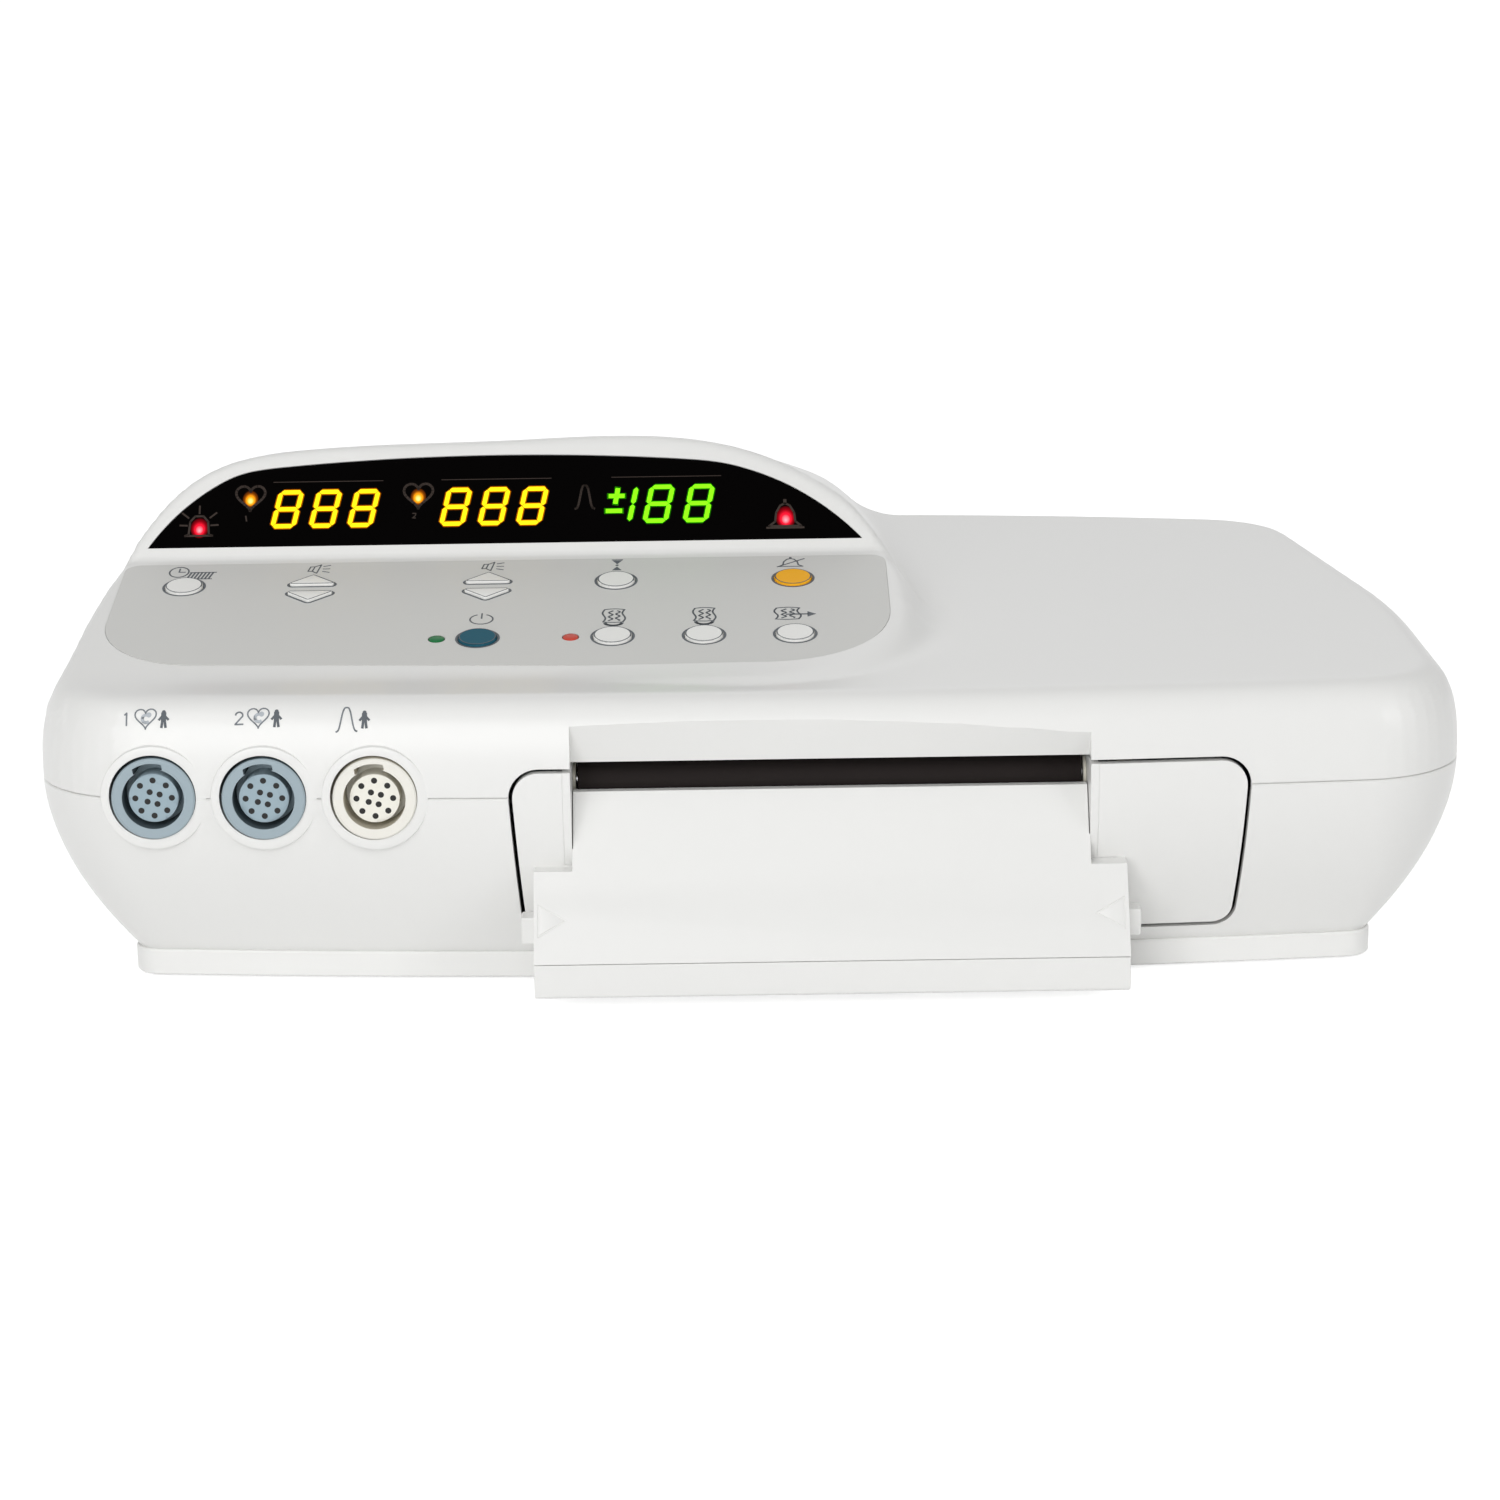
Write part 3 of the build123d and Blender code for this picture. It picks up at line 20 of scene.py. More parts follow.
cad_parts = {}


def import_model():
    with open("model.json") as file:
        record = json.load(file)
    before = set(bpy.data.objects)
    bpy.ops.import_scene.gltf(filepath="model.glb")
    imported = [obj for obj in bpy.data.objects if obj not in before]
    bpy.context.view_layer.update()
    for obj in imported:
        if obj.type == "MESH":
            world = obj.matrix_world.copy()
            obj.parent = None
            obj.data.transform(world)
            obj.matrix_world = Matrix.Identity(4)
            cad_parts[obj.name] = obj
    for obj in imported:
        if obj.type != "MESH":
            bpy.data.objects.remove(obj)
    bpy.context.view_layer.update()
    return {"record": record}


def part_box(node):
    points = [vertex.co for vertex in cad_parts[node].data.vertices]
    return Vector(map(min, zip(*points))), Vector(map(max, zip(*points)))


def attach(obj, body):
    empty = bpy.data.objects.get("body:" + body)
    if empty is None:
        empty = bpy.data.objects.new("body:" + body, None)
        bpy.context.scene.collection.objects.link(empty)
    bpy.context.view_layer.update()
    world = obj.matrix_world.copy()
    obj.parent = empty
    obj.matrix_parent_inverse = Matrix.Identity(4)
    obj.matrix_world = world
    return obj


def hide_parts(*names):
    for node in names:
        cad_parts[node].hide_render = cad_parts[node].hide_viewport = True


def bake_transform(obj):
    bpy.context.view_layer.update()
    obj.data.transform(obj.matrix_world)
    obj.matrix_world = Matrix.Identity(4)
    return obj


LOG = logging.getLogger("cardiotocograph")
MM = 0.001
TINY = 1e-12
Points = Sequence[Sequence[float]]
Colour = tuple[float, float, float]


class Finish(Enum):
    """Every finish on the object, by the name of its material."""

    CASE = "case_plastic"
    # Painted shade over the contact holes of the socket inserts.
    HOLE_SHADE = "dark_gap"
    OVERLAY = "overlay_film"
    WINDOW = "dark_window"
    WHITE_KEY = "white_key"
    YELLOW_KEY = "yellow_key"
    TEAL_KEY = "teal_key"
    BLUE = "blue_plastic"
    BLUE_INSERT = "blue_insert"
    IVORY = "ivory_plastic"
    IVORY_INSERT = "ivory_insert"
    RUBBER = "roller_rubber"
    FOOT = "foot_rubber"
    STEEL = "steel"
    ZINC = "zinc_sheet"
    ALUMINIUM = "aluminium"
    BOARD = "circuit_board"
    DISPLAY = "display_plastic"
    GEAR = "gear_plastic"
    BLACK = "black_plastic"
    BRASS = "brass"
    INK = "printed_ink"
    PALE_INK = "pale_ink"
    RED_LAMP = "lamp_red"
    GREEN_LAMP = "lamp_green"
    AMBER_GLOW = "amber_glow"
    YELLOW_DIGIT = "yellow_digit"
    GREEN_DIGIT = "green_digit"
    UNLIT = "unlit_segment"
    GHOST_INK = "ghost_ink"
    ORANGE_HALO = "orange_halo"
    GREEN_HALO = "green_halo"
    BLUE_SHADE = "blue_shade"
    IVORY_SHADE = "ivory_shade"
    FLOOR = "studio_floor"


def linear(red: float, green: float, blue: float) -> tuple[float, float, float, float]:
    """Colour from the 0 to 255 scale of a display as linear light.

    Args:
        red: red part.
        green: green part.
        blue: blue part.

    Returns:
        The three linear parts and a full alpha.
    """
    shares = [value / 255 for value in (red, green, blue)]
    return tuple(s / 12.92 if s <= 0.04045 else ((s + 0.055) / 1.055) ** 2.4
                 for s in shares) + (1.0,)


@dataclass(frozen=True)
class Surface:
    """One procedural finish: its colour, gloss and fine relief.

    Lengths are in millimetres: grain is the size of the relief's bumps, depth their height and
    patch the size of the areas over which the colour varies. The variation takes patch_share
    from the patches and the rest from the grain. The roughness varies by uneven. Where the
    metal is brushed, brush is the scale of the noise along X.
    """

    colour: Colour
    roughness: float = 0.5
    metallic: float = 0.0
    grain: float = 0.5
    depth: float = 0.01
    variation: float = 0.03
    specular: float = 0.5
    glow: float = 0.0
    brushed: bool = False
    brush: float = 0.04
    patch: float = 60.0
    patch_share: float = 0.7
    uneven: float = 0.05

    def build(self, name: str) -> bpy.types.Material:
        """Makes the node material.

        Args:
            name: the material's name.

        Returns:
            The material, with its colour, roughness and bump from noise in object space.
        """
        material = bpy.data.materials.new(name)
        material.use_nodes = True
        tree = material.node_tree
        shader = tree.nodes["Principled BSDF"]
        shader.inputs["Metallic"].default_value = self.metallic
        shader.inputs["Specular IOR Level"].default_value = self.specular
        place = tree.nodes.new("ShaderNodeTexCoord")
        stretch = tree.nodes.new("ShaderNodeMapping")
        stretch.inputs["Scale"].default_value = (self.brush if self.brushed else 1.0, 1.0, 1.0)
        tree.links.new(place.outputs["Object"], stretch.inputs["Vector"])
        fine = self._noise(tree, stretch, 1 / (self.grain * MM), 3.0)
        broad = self._noise(tree, stretch, 1 / (self.patch * MM), 2.0)
        self._colour(tree, shader, broad, fine)
        spread = tree.nodes.new("ShaderNodeMapRange")
        spread.inputs["To Min"].default_value = max(0.02, self.roughness - self.uneven)
        spread.inputs["To Max"].default_value = min(1.0, self.roughness + self.uneven)
        tree.links.new(fine.outputs["Fac"], spread.inputs["Value"])
        tree.links.new(spread.outputs["Result"], shader.inputs["Roughness"])
        bump = tree.nodes.new("ShaderNodeBump")
        bump.inputs["Strength"].default_value = 1.0
        bump.inputs["Distance"].default_value = self.depth * MM
        tree.links.new(fine.outputs["Fac"], bump.inputs["Height"])
        tree.links.new(bump.outputs["Normal"], shader.inputs["Normal"])
        if self.glow:
            shader.inputs["Emission Color"].default_value = linear(*self.colour)
            shader.inputs["Emission Strength"].default_value = self.glow
        return material

    @staticmethod
    def _noise(tree: bpy.types.NodeTree, source: bpy.types.Node, scale: float,
               detail: float) -> bpy.types.Node:
        """Noise texture in object space at a scale per metre.

        Args:
            tree: the material's nodes.
            source: the node that gives the place.
            scale: bumps to a metre.
            detail: octaves of the noise.

        Returns:
            The new node.
        """
        noise = tree.nodes.new("ShaderNodeTexNoise")
        noise.inputs["Scale"].default_value = scale
        noise.inputs["Detail"].default_value = detail
        tree.links.new(source.outputs["Vector"], noise.inputs["Vector"])
        return noise

    def _colour(self, tree: bpy.types.NodeTree, shader: bpy.types.Node,
                broad: bpy.types.Node, fine: bpy.types.Node) -> None:
        """Links a base colour that varies a little over the surface.

        Args:
            tree: the material's nodes.
            shader: the node that takes the colour.
            broad: noise of the patches.
            fine: noise of the grain.
        """
        blend = tree.nodes.new("ShaderNodeMix")
        blend.data_type = "RGBA"
        base = linear(*self.colour)
        low = tuple(c * (1 - self.variation) for c in base[:3]) + (1.0,)
        high = tuple(min(1.0, c * (1 + self.variation)) for c in base[:3]) + (1.0,)
        blend.inputs["A"].default_value = low
        blend.inputs["B"].default_value = high
        total = tree.nodes.new("ShaderNodeMath")
        total.operation = "MULTIPLY_ADD"
        total.inputs[1].default_value = self.patch_share
        tree.links.new(broad.outputs["Fac"], total.inputs[0])
        weight = tree.nodes.new("ShaderNodeMath")
        weight.operation = "MULTIPLY"
        weight.inputs[1].default_value = 1 - self.patch_share
        tree.links.new(fine.outputs["Fac"], weight.inputs[0])
        tree.links.new(weight.outputs["Value"], total.inputs[2])
        tree.links.new(total.outputs["Value"], blend.inputs["Factor"])
        tree.links.new(blend.outputs["Result"], shader.inputs["Base Color"])


SURFACES: dict[Finish, Surface] = {
    Finish.CASE: Surface((232, 232, 230), roughness=0.32, grain=0.35, depth=0.0012,
                         variation=0.012),
    Finish.HOLE_SHADE: Surface((26, 25, 25), roughness=0.8),
    Finish.OVERLAY: Surface((214, 214, 211), roughness=0.5, grain=0.2, depth=0.003,
                            variation=0.015, specular=0.3),
    Finish.WINDOW: Surface((7, 6, 6), roughness=0.12, depth=0.001, specular=0.0),
    Finish.WHITE_KEY: Surface((240, 240, 237), roughness=0.45, grain=0.25, depth=0.004),
    Finish.YELLOW_KEY: Surface((255, 184, 40), roughness=0.5, grain=0.25, depth=0.004,
                               specular=0.12),
    Finish.TEAL_KEY: Surface((38, 92, 110), roughness=0.5, grain=0.25, depth=0.004, specular=0.06),
    Finish.BLUE: Surface((154, 170, 178), roughness=0.38, grain=0.3, depth=0.006),
    Finish.BLUE_INSERT: Surface((152, 172, 182), roughness=0.5, grain=0.3, depth=0.008),
    Finish.IVORY: Surface((233, 231, 223), roughness=0.42, grain=0.3, depth=0.006),
    Finish.IVORY_INSERT: Surface((236, 234, 224), roughness=0.5, grain=0.3, depth=0.008),
    Finish.RUBBER: Surface((34, 29, 28), roughness=0.75, grain=0.4, depth=0.03, variation=0.1,
                           specular=0.15),
    Finish.FOOT: Surface((44, 44, 46), roughness=0.85, grain=0.6, depth=0.03, variation=0.1),
    Finish.STEEL: Surface((190, 190, 192), roughness=0.3, metallic=1.0, brushed=True),
    Finish.ZINC: Surface((188, 190, 186), roughness=0.42, metallic=1.0, grain=4.0, variation=0.08),
    Finish.ALUMINIUM: Surface((205, 206, 208), roughness=0.35, metallic=1.0, brushed=True),
    Finish.BOARD: Surface((30, 92, 52), roughness=0.4, grain=1.2, depth=0.02, variation=0.15),
    Finish.DISPLAY: Surface((30, 30, 31), roughness=0.4),
    Finish.GEAR: Surface((226, 222, 208), roughness=0.4, grain=0.4, depth=0.01),
    Finish.BLACK: Surface((38, 38, 40), roughness=0.55, grain=0.5, depth=0.02, variation=0.06),
    Finish.BRASS: Surface((205, 170, 95), roughness=0.3, metallic=1.0, brushed=True),
    Finish.INK: Surface((84, 90, 96), roughness=0.6, variation=0.05),
    Finish.PALE_INK: Surface((116, 122, 128), roughness=0.6, variation=0.05),
    Finish.GHOST_INK: Surface((178, 184, 190), roughness=0.6, variation=0.05),
    Finish.RED_LAMP: Surface((200, 74, 60), roughness=0.3, specular=0.15),
    Finish.GREEN_LAMP: Surface((26, 112, 62), roughness=0.3, specular=0.15),
    Finish.AMBER_GLOW: Surface((255, 176, 40), roughness=0.4, glow=1.0),
    Finish.YELLOW_DIGIT: Surface((255, 222, 24), roughness=0.6, glow=0.75, specular=0.0),
    Finish.GREEN_DIGIT: Surface((128, 255, 24), roughness=0.6, glow=0.7, specular=0.0),
    Finish.UNLIT: Surface((64, 56, 52), roughness=0.5, specular=0.03),
    Finish.ORANGE_HALO: Surface((176, 92, 0), roughness=0.6, glow=0.12, specular=0.0),
    Finish.GREEN_HALO: Surface((34, 120, 0), roughness=0.6, glow=0.12, specular=0.0),
    Finish.BLUE_SHADE: Surface((84, 96, 102), roughness=0.6, specular=0.1),
    Finish.IVORY_SHADE: Surface((196, 190, 174), roughness=0.6, specular=0.1),
}


class Palette:
    """Builds each material once and hands it out."""

    def __init__(self) -> None:
        """Starts with no materials."""
        self._made: dict[Finish, bpy.types.Material] = {}

    def get(self, finish: Finish) -> bpy.types.Material:
        """The material of a finish.

        Args:
            finish: the finish.

        Returns:
            Its material, made only once.
        """
        if finish not in self._made:
            self._made[finish] = SURFACES[finish].build(finish.value)
        return self._made[finish]

    def paint(self, piece: bpy.types.Object, finish: Finish) -> None:
        """Gives a whole piece one finish."""
        piece.data.materials.clear()
        piece.data.materials.append(self.get(finish))


def make_mesh(name: str, vertices: np.ndarray, faces: Sequence) -> bpy.types.Mesh:
    """Mesh from vertices in millimetres.

    Args:
        name: the mesh's name.
        vertices: one row of X, Y and Z for each vertex.
        faces: vertex numbers of each face.

    Returns:
        The mesh, in metres.
    """
    mesh = bpy.data.meshes.new(name)
    corners = faces.tolist() if isinstance(faces, np.ndarray) else faces
    mesh.from_pydata((np.asarray(vertices, float) * MM).tolist(), [], corners)
    mesh.update()
    return mesh


def make_object(name: str, mesh: bpy.types.Mesh) -> bpy.types.Object:
    """Puts a mesh into the scene as an object at the origin.

    Args:
        name: the object's name.
        mesh: its mesh.

    Returns:
        The object.
    """
    made = bpy.data.objects.new(name, mesh)
    bpy.context.scene.collection.objects.link(made)
    return made


def dress(piece: bpy.types.Object, body: str, finish: Finish, slot: str = "",
          replaces: Sequence[str] = ()) -> bpy.types.Object:
    """Makes a piece ready: it rides on a body, has a finish and may stand for CAD nodes.

    Args:
        piece: the new object.
        body: name of the CAD body that carries it.
        finish: its finish.
        slot: not used.
        replaces: CAD nodes that it stands for.

    Returns:
        The same object.
    """
    PALETTE.paint(piece, finish)
    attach(piece, body)
    if replaces:
        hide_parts(*replaces)
    LOG.info("%s: %d vertices on %s", piece.name, len(piece.data.vertices), body)
    return piece


def merged(name: str, meshes: Sequence[bpy.types.Mesh],
           finishes: Sequence[Finish]) -> bpy.types.Object:
    """Joins meshes into one object, each with its own finish.

    Args:
        name: the object's name.
        meshes: the meshes, which are removed afterwards.
        finishes: one finish for each mesh.

    Returns:
        The object, with a material for each kind of finish.
    """
    kinds = list(dict.fromkeys(finishes))
    work = bmesh.new()
    done = 0
    for mesh, finish in zip(meshes, finishes):
        work.from_mesh(mesh)
        work.faces.ensure_lookup_table()
        for face in work.faces[done:]:
            face.material_index = kinds.index(finish)
        done = len(work.faces)
        bpy.data.meshes.remove(mesh)
    joined = bpy.data.meshes.new(name)
    work.to_mesh(joined)
    work.free()
    for kind in kinds:
        joined.materials.append(PALETTE.get(kind))
    return make_object(name, joined)


def shade(mesh: bpy.types.Mesh, angle: float = 30.0) -> None:
    """Smooth shading with sharp edges where faces meet at more than an angle in degrees."""
    mesh.shade_smooth()
    mesh.set_sharp_from_angle(angle=math.radians(angle))


def turn_out(mesh: bpy.types.Mesh) -> None:
    """Turns every face of a closed mesh outwards.

    Args:
        mesh: the mesh, which is changed.
    """
    work = bmesh.new()
    work.from_mesh(mesh)
    bmesh.ops.recalc_face_normals(work, faces=work.faces)
    work.to_mesh(mesh)
    work.free()


def apply_modifiers(piece: bpy.types.Object) -> None:
    """Replaces a piece's mesh by what its modifiers make of it.

    Args:
        piece: the object, which keeps no modifier.
    """
    graph = bpy.context.evaluated_depsgraph_get()
    graph.update()
    result = bpy.data.meshes.new_from_object(piece.evaluated_get(graph))
    piece.modifiers.clear()
    old, piece.data = piece.data, result
    bpy.data.meshes.remove(old)


def combine(target: bpy.types.Object, tools: Sequence[bpy.types.Object],
            operation: str = "DIFFERENCE") -> None:
    """Cuts tools from a closed mesh, joins them to it or keeps what they share.

    Args:
        target: the object whose mesh is changed.
        tools: closed objects, which are removed afterwards.
        operation: DIFFERENCE, UNION or INTERSECT.
    """
    for tool in tools:
        change = target.modifiers.new("change", "BOOLEAN")
        change.operation = operation
        change.solver = "MANIFOLD"
        change.object = tool
        apply_modifiers(target)
        spent = tool.data
        bpy.data.objects.remove(tool)
        bpy.data.meshes.remove(spent)


def bevel(piece: bpy.types.Object, width: float, segments: int = 2,
          angle: float = 35.0) -> bpy.types.Object:
    """Rounds the sharp edges of a piece.

    Args:
        piece: the object.
        width: size of the rounding in millimetres.
        segments: divisions of the rounding.
        angle: least angle in degrees of the edges that are rounded.

    Returns:
        The object, with smooth shading.
    """
    change = piece.modifiers.new("bevel", "BEVEL")
    change.width = width * MM
    change.segments = segments
    change.limit_method = "ANGLE"
    change.angle_limit = math.radians(angle)
    change.use_clamp_overlap = True
    change.harden_normals = True
    shade(piece.data, angle)
    apply_modifiers(piece)
    return piece


def softened(name: str, node: str, width: float, segments: int = 2) -> bpy.types.Object:
    """Copy of a CAD node with its edges rounded, its corners welded and its flat faces merged.

    Args:
        name: name of the new piece.
        node: the CAD node.
        width: size of the rounding in millimetres.
        segments: divisions of the rounding.

    Returns:
        The new object, ready to be dressed.
    """
    weld, level = 0.002 * MM, math.radians(0.6)
    mesh = bpy.data.objects[node].data.copy()
    mesh.name = name
    work = bmesh.new()
    work.from_mesh(mesh)
    bmesh.ops.remove_doubles(work, verts=work.verts, dist=weld)
    bmesh.ops.dissolve_limit(work, angle_limit=level, verts=work.verts, edges=work.edges)
    for layer in list(work.loops.layers.uv):
        work.loops.layers.uv.remove(layer)
    work.to_mesh(mesh)
    work.free()
    return bevel(make_object(name, mesh), width, segments)


def surface_tree(mesh: bpy.types.Mesh) -> BVHTree:
    """Search tree of a mesh."""
    return BVHTree.FromPolygons([v.co for v in mesh.vertices],
                                [tuple(p.vertices) for p in mesh.polygons])


def carry_normals(piece: bpy.types.Object, source: bpy.types.Mesh, normals: np.ndarray,
                  angle: float = 30.0, near: float = 0.05, agree: float = 0.8) -> None:
    """Gives a cut mesh the smooth normals of the surface that it was cut from.

    A vertex on the surface takes the mean of the normals round the face it lies on, each
    weighted by one over its distance.

    Args:
        piece: the cut object.
        source: the whole smooth surface.
        normals: its true normal at each vertex.
        angle: edge angle in degrees that stays sharp on the cut walls.
        near: greatest distance, in millimetres, at which a corner lies on the surface.
        agree: least cosine between the surface's normal and that of the corner's face.
    """
    mesh = piece.data
    shade(mesh, angle)
    tree = surface_tree(source)
    places = np.zeros(len(source.vertices) * 3)
    source.vertices.foreach_get("co", places)
    places = places.reshape(-1, 3)
    corners = [tuple(p.vertices) for p in source.polygons]
    made = np.zeros(len(mesh.loops) * 3, np.float32)
    mesh.corner_normals.foreach_get("vector", made)
    made = made.reshape(-1, 3)
    owners = np.zeros(len(mesh.loops), int)
    mesh.loops.foreach_get("vertex_index", owners)
    smooth = np.zeros((len(mesh.vertices), 3))
    on_skin = np.zeros(len(mesh.vertices), bool)
    for vertex in mesh.vertices:
        place, _, face, distance = tree.find_nearest(vertex.co)
        if distance < near * MM:
            around = list(corners[face])
            weights = 1 / (np.linalg.norm(places[around] - np.array(place), axis=1) + 1e-7)
            smooth[vertex.index] = weights @ normals[around]
            on_skin[vertex.index] = True
    smooth = unit_rows(smooth)
    totals = np.zeros(len(mesh.polygons), int)
    mesh.polygons.foreach_get("loop_total", totals)
    flat = np.zeros(len(mesh.polygons) * 3)
    mesh.polygons.foreach_get("normal", flat)
    facing = np.repeat(flat.reshape(-1, 3), totals, axis=0)
    fits = on_skin[owners] & ((smooth[owners] * facing).sum(axis=1) > agree)
    made[fits] = smooth[owners[fits]]
    mesh.normals_split_custom_set(made.tolist())


def band_faces(rows: int, columns: int, looped: bool = False) -> np.ndarray:
    """Quads of a grid whose columns close into a ring.

    Args:
        rows: number of rings.
        columns: points in each ring.
        looped: True where the last ring joins the first one.

    Returns:
        Vertex numbers, four to a face.
    """
    last = rows if looped else rows - 1
    row, column = np.meshgrid(np.arange(last), np.arange(columns), indexing="ij")
    beside = (column + 1) % columns
    above = (row + 1) % rows
    quads = [row * columns + column, row * columns + beside, above * columns + beside,
             above * columns + column]
    return np.stack([q.ravel() for q in quads], axis=1)


def ring_mesh(name: str, rings: np.ndarray, looped: bool = False) -> bpy.types.Mesh:
    """Closed mesh through rings of equal length, capped at both ends or looped.

    Args:
        name: the mesh's name.
        rings: array of rings, points, and X, Y and Z.
        looped: True where the last ring joins the first one, as in a hollow band.

    Returns:
        The closed mesh.
    """
    stack = np.asarray(rings, float)
    rows, columns = stack.shape[:2]
    faces = band_faces(rows, columns, looped).tolist()
    if not looped:
        faces.append(list(range(columns))[::-1])
        faces.append(list(range((rows - 1) * columns, rows * columns)))
    mesh = make_mesh(name, stack.reshape(-1, 3), faces)
    turn_out(mesh)
    return mesh


Place = Callable[[np.ndarray, np.ndarray, np.ndarray], np.ndarray]


def front_view(x: np.ndarray, z: np.ndarray, y: np.ndarray) -> np.ndarray:
    """Maps an outline drawn in X and Z, with its depth along Y."""
    return np.stack([x, y, z], axis=-1)


def plan_view(x: np.ndarray, y: np.ndarray, z: np.ndarray) -> np.ndarray:
    """Maps an outline drawn in X and Y, with its depth along Z."""
    return np.stack([x, y, z], axis=-1)


def side_view(y: np.ndarray, z: np.ndarray, x: np.ndarray) -> np.ndarray:
    """Maps an outline drawn in Y and Z, with its depth along X."""
    return np.stack([x, y, z], axis=-1)


def prism(name: str, face: Points, place: Place, low: float, high: float) -> bpy.types.Object:
    """Prism of a flat outline between two depths: the outline, carried along a straight line.

    Args:
        name: the object's name.
        face: outline points in the plane.
        place: maps the outline's two numbers and a depth to X, Y and Z.
        low: first depth.
        high: last depth.

    Returns:
        The closed object, in the scene.
    """
    flat = np.asarray(face, float)
    rings = [place(flat[:, 0], flat[:, 1], np.full(len(flat), depth)) for depth in (low, high)]
    return make_object(name, ring_mesh(name, np.stack(rings)))


def box(name: str, low: Points, high: Points) -> bpy.types.Object:
    """Square block between two corners, for cutting and joining."""
    return prism(name, rectangle(low[0], high[0], low[1], high[1]), plan_view, low[2], high[2])


def unit_rows(vectors: np.ndarray) -> np.ndarray:
    """Each row divided by its own length."""
    return vectors / (np.linalg.norm(vectors, axis=1, keepdims=True) + TINY)


def directions(angles: np.ndarray) -> np.ndarray:
    """Unit vectors at angles in radians: the cosine across and the sine up."""
    return np.stack([np.cos(angles), np.sin(angles)], axis=1)


def circle(x: float, y: float, radius: float, count: int = 48) -> np.ndarray:
    """Points of a circle: its centre plus the radius times the cosine and sine."""
    return (x, y) + radius * directions(np.linspace(0, 2 * math.pi, count, endpoint=False))


def rectangle(left: float, right: float, low: float, high: float) -> list:
    """Corners of a rectangle."""
    return [(left, low), (right, low), (right, high), (left, high)]


def rounded(points: Points, radii: Sequence[float], steps: int = 8) -> np.ndarray:
    """Outline with an arc at each corner, tangent to both its sides.

    Args:
        points: corners of the outline, in order.
        radii: one radius for each corner, zero to keep it sharp.
        steps: divisions of each arc.

    Returns:
        Points of the rounded outline.
    """
    made = []
    corners = [np.array(p, float) for p in points]
    for n, corner in enumerate(corners):
        if radii[n] <= 0:
            made.append(corner[None])
            continue
        before = corners[n - 1] - corner
        after = corners[(n + 1) % len(corners)] - corner
        before /= np.linalg.norm(before)
        after /= np.linalg.norm(after)
        half = math.acos(float(np.clip(before @ after, -1, 1))) / 2
        middle = (before + after) / np.linalg.norm(before + after)
        centre = corner + middle * radii[n] / math.sin(half)
        first = corner + before * radii[n] / math.tan(half) - centre
        last = corner + after * radii[n] / math.tan(half) - centre
        start = math.atan2(first[1], first[0])
        sweep = (math.atan2(last[1], last[0]) - start + math.pi) % (2 * math.pi) - math.pi
        angles = start + sweep * np.linspace(0, 1, steps + 1)
        made.append(centre + radii[n] * directions(angles))
    return np.concatenate(made)


def arc_through(first: Sequence[float], middle: Sequence[float], last: Sequence[float],
                steps: int) -> np.ndarray:
    """Points of the circle's arc through three places, without the last one.

    Args:
        first: where the arc starts.
        middle: a place on the way.
        last: where it ends.
        steps: number of points.

    Returns:
        The points.
    """
    (ax, ay), (bx, by), (cx, cy) = first, middle, last
    twice = 2 * (ax * (by - cy) + bx * (cy - ay) + cx * (ay - by))
    squares = [ax * ax + ay * ay, bx * bx + by * by, cx * cx + cy * cy]
    ux = (squares[0] * (by - cy) + squares[1] * (cy - ay) + squares[2] * (ay - by)) / twice
    uy = (squares[0] * (cx - bx) + squares[1] * (ax - cx) + squares[2] * (bx - ax)) / twice
    radius = math.hypot(ax - ux, ay - uy)
    start = math.atan2(ay - uy, ax - ux)
    halfway = (math.atan2(by - uy, bx - ux) - start + math.pi) % (2 * math.pi) - math.pi
    rest = (math.atan2(cy - uy, cx - ux) - start - halfway + math.pi) % (2 * math.pi) - math.pi
    angles = start + (halfway + rest) * np.arange(steps) / steps
    return (ux, uy) + radius * directions(angles)


def lathe(name: str, profile: Points, place: Place, centre: Sequence[float],
          count: int = 64) -> bpy.types.Mesh:
    """Surface of revolution: a profile of radius and depth, turned round an axis.

    Args:
        name: the mesh's name.
        profile: radius and depth of each point, from one end to the other.
        place: maps two numbers across the axis and a depth to X, Y and Z.
        centre: the axis's two numbers.
        count: divisions round the axis.

    Returns:
        The closed mesh.
    """
    line = np.asarray(profile, float)
    angle = np.linspace(0, 2 * math.pi, count, endpoint=False)[None, :]
    radius = np.maximum(line[:, :1], 0.01)
    depth = np.broadcast_to(line[:, 1:], (len(line), count))
    rings = place(centre[0] + radius * np.cos(angle), centre[1] + radius * np.sin(angle), depth)
    mesh = ring_mesh(name, rings)
    shade(mesh, 40)
    return mesh


def smooth_max(a: np.ndarray, b: np.ndarray, size: float | np.ndarray) -> np.ndarray:
    """Greater of two fields, with a soft change between them over a size in millimetres."""
    share = np.maximum(size - np.abs(a - b), 0) / size
    return np.maximum(a, b) + share * share * size / 4


def smooth_min(a: np.ndarray, b: np.ndarray, size: float | np.ndarray) -> np.ndarray:
    """Smaller of two fields, with a soft change between them over a size in millimetres."""
    return -smooth_max(-a, -b, size)


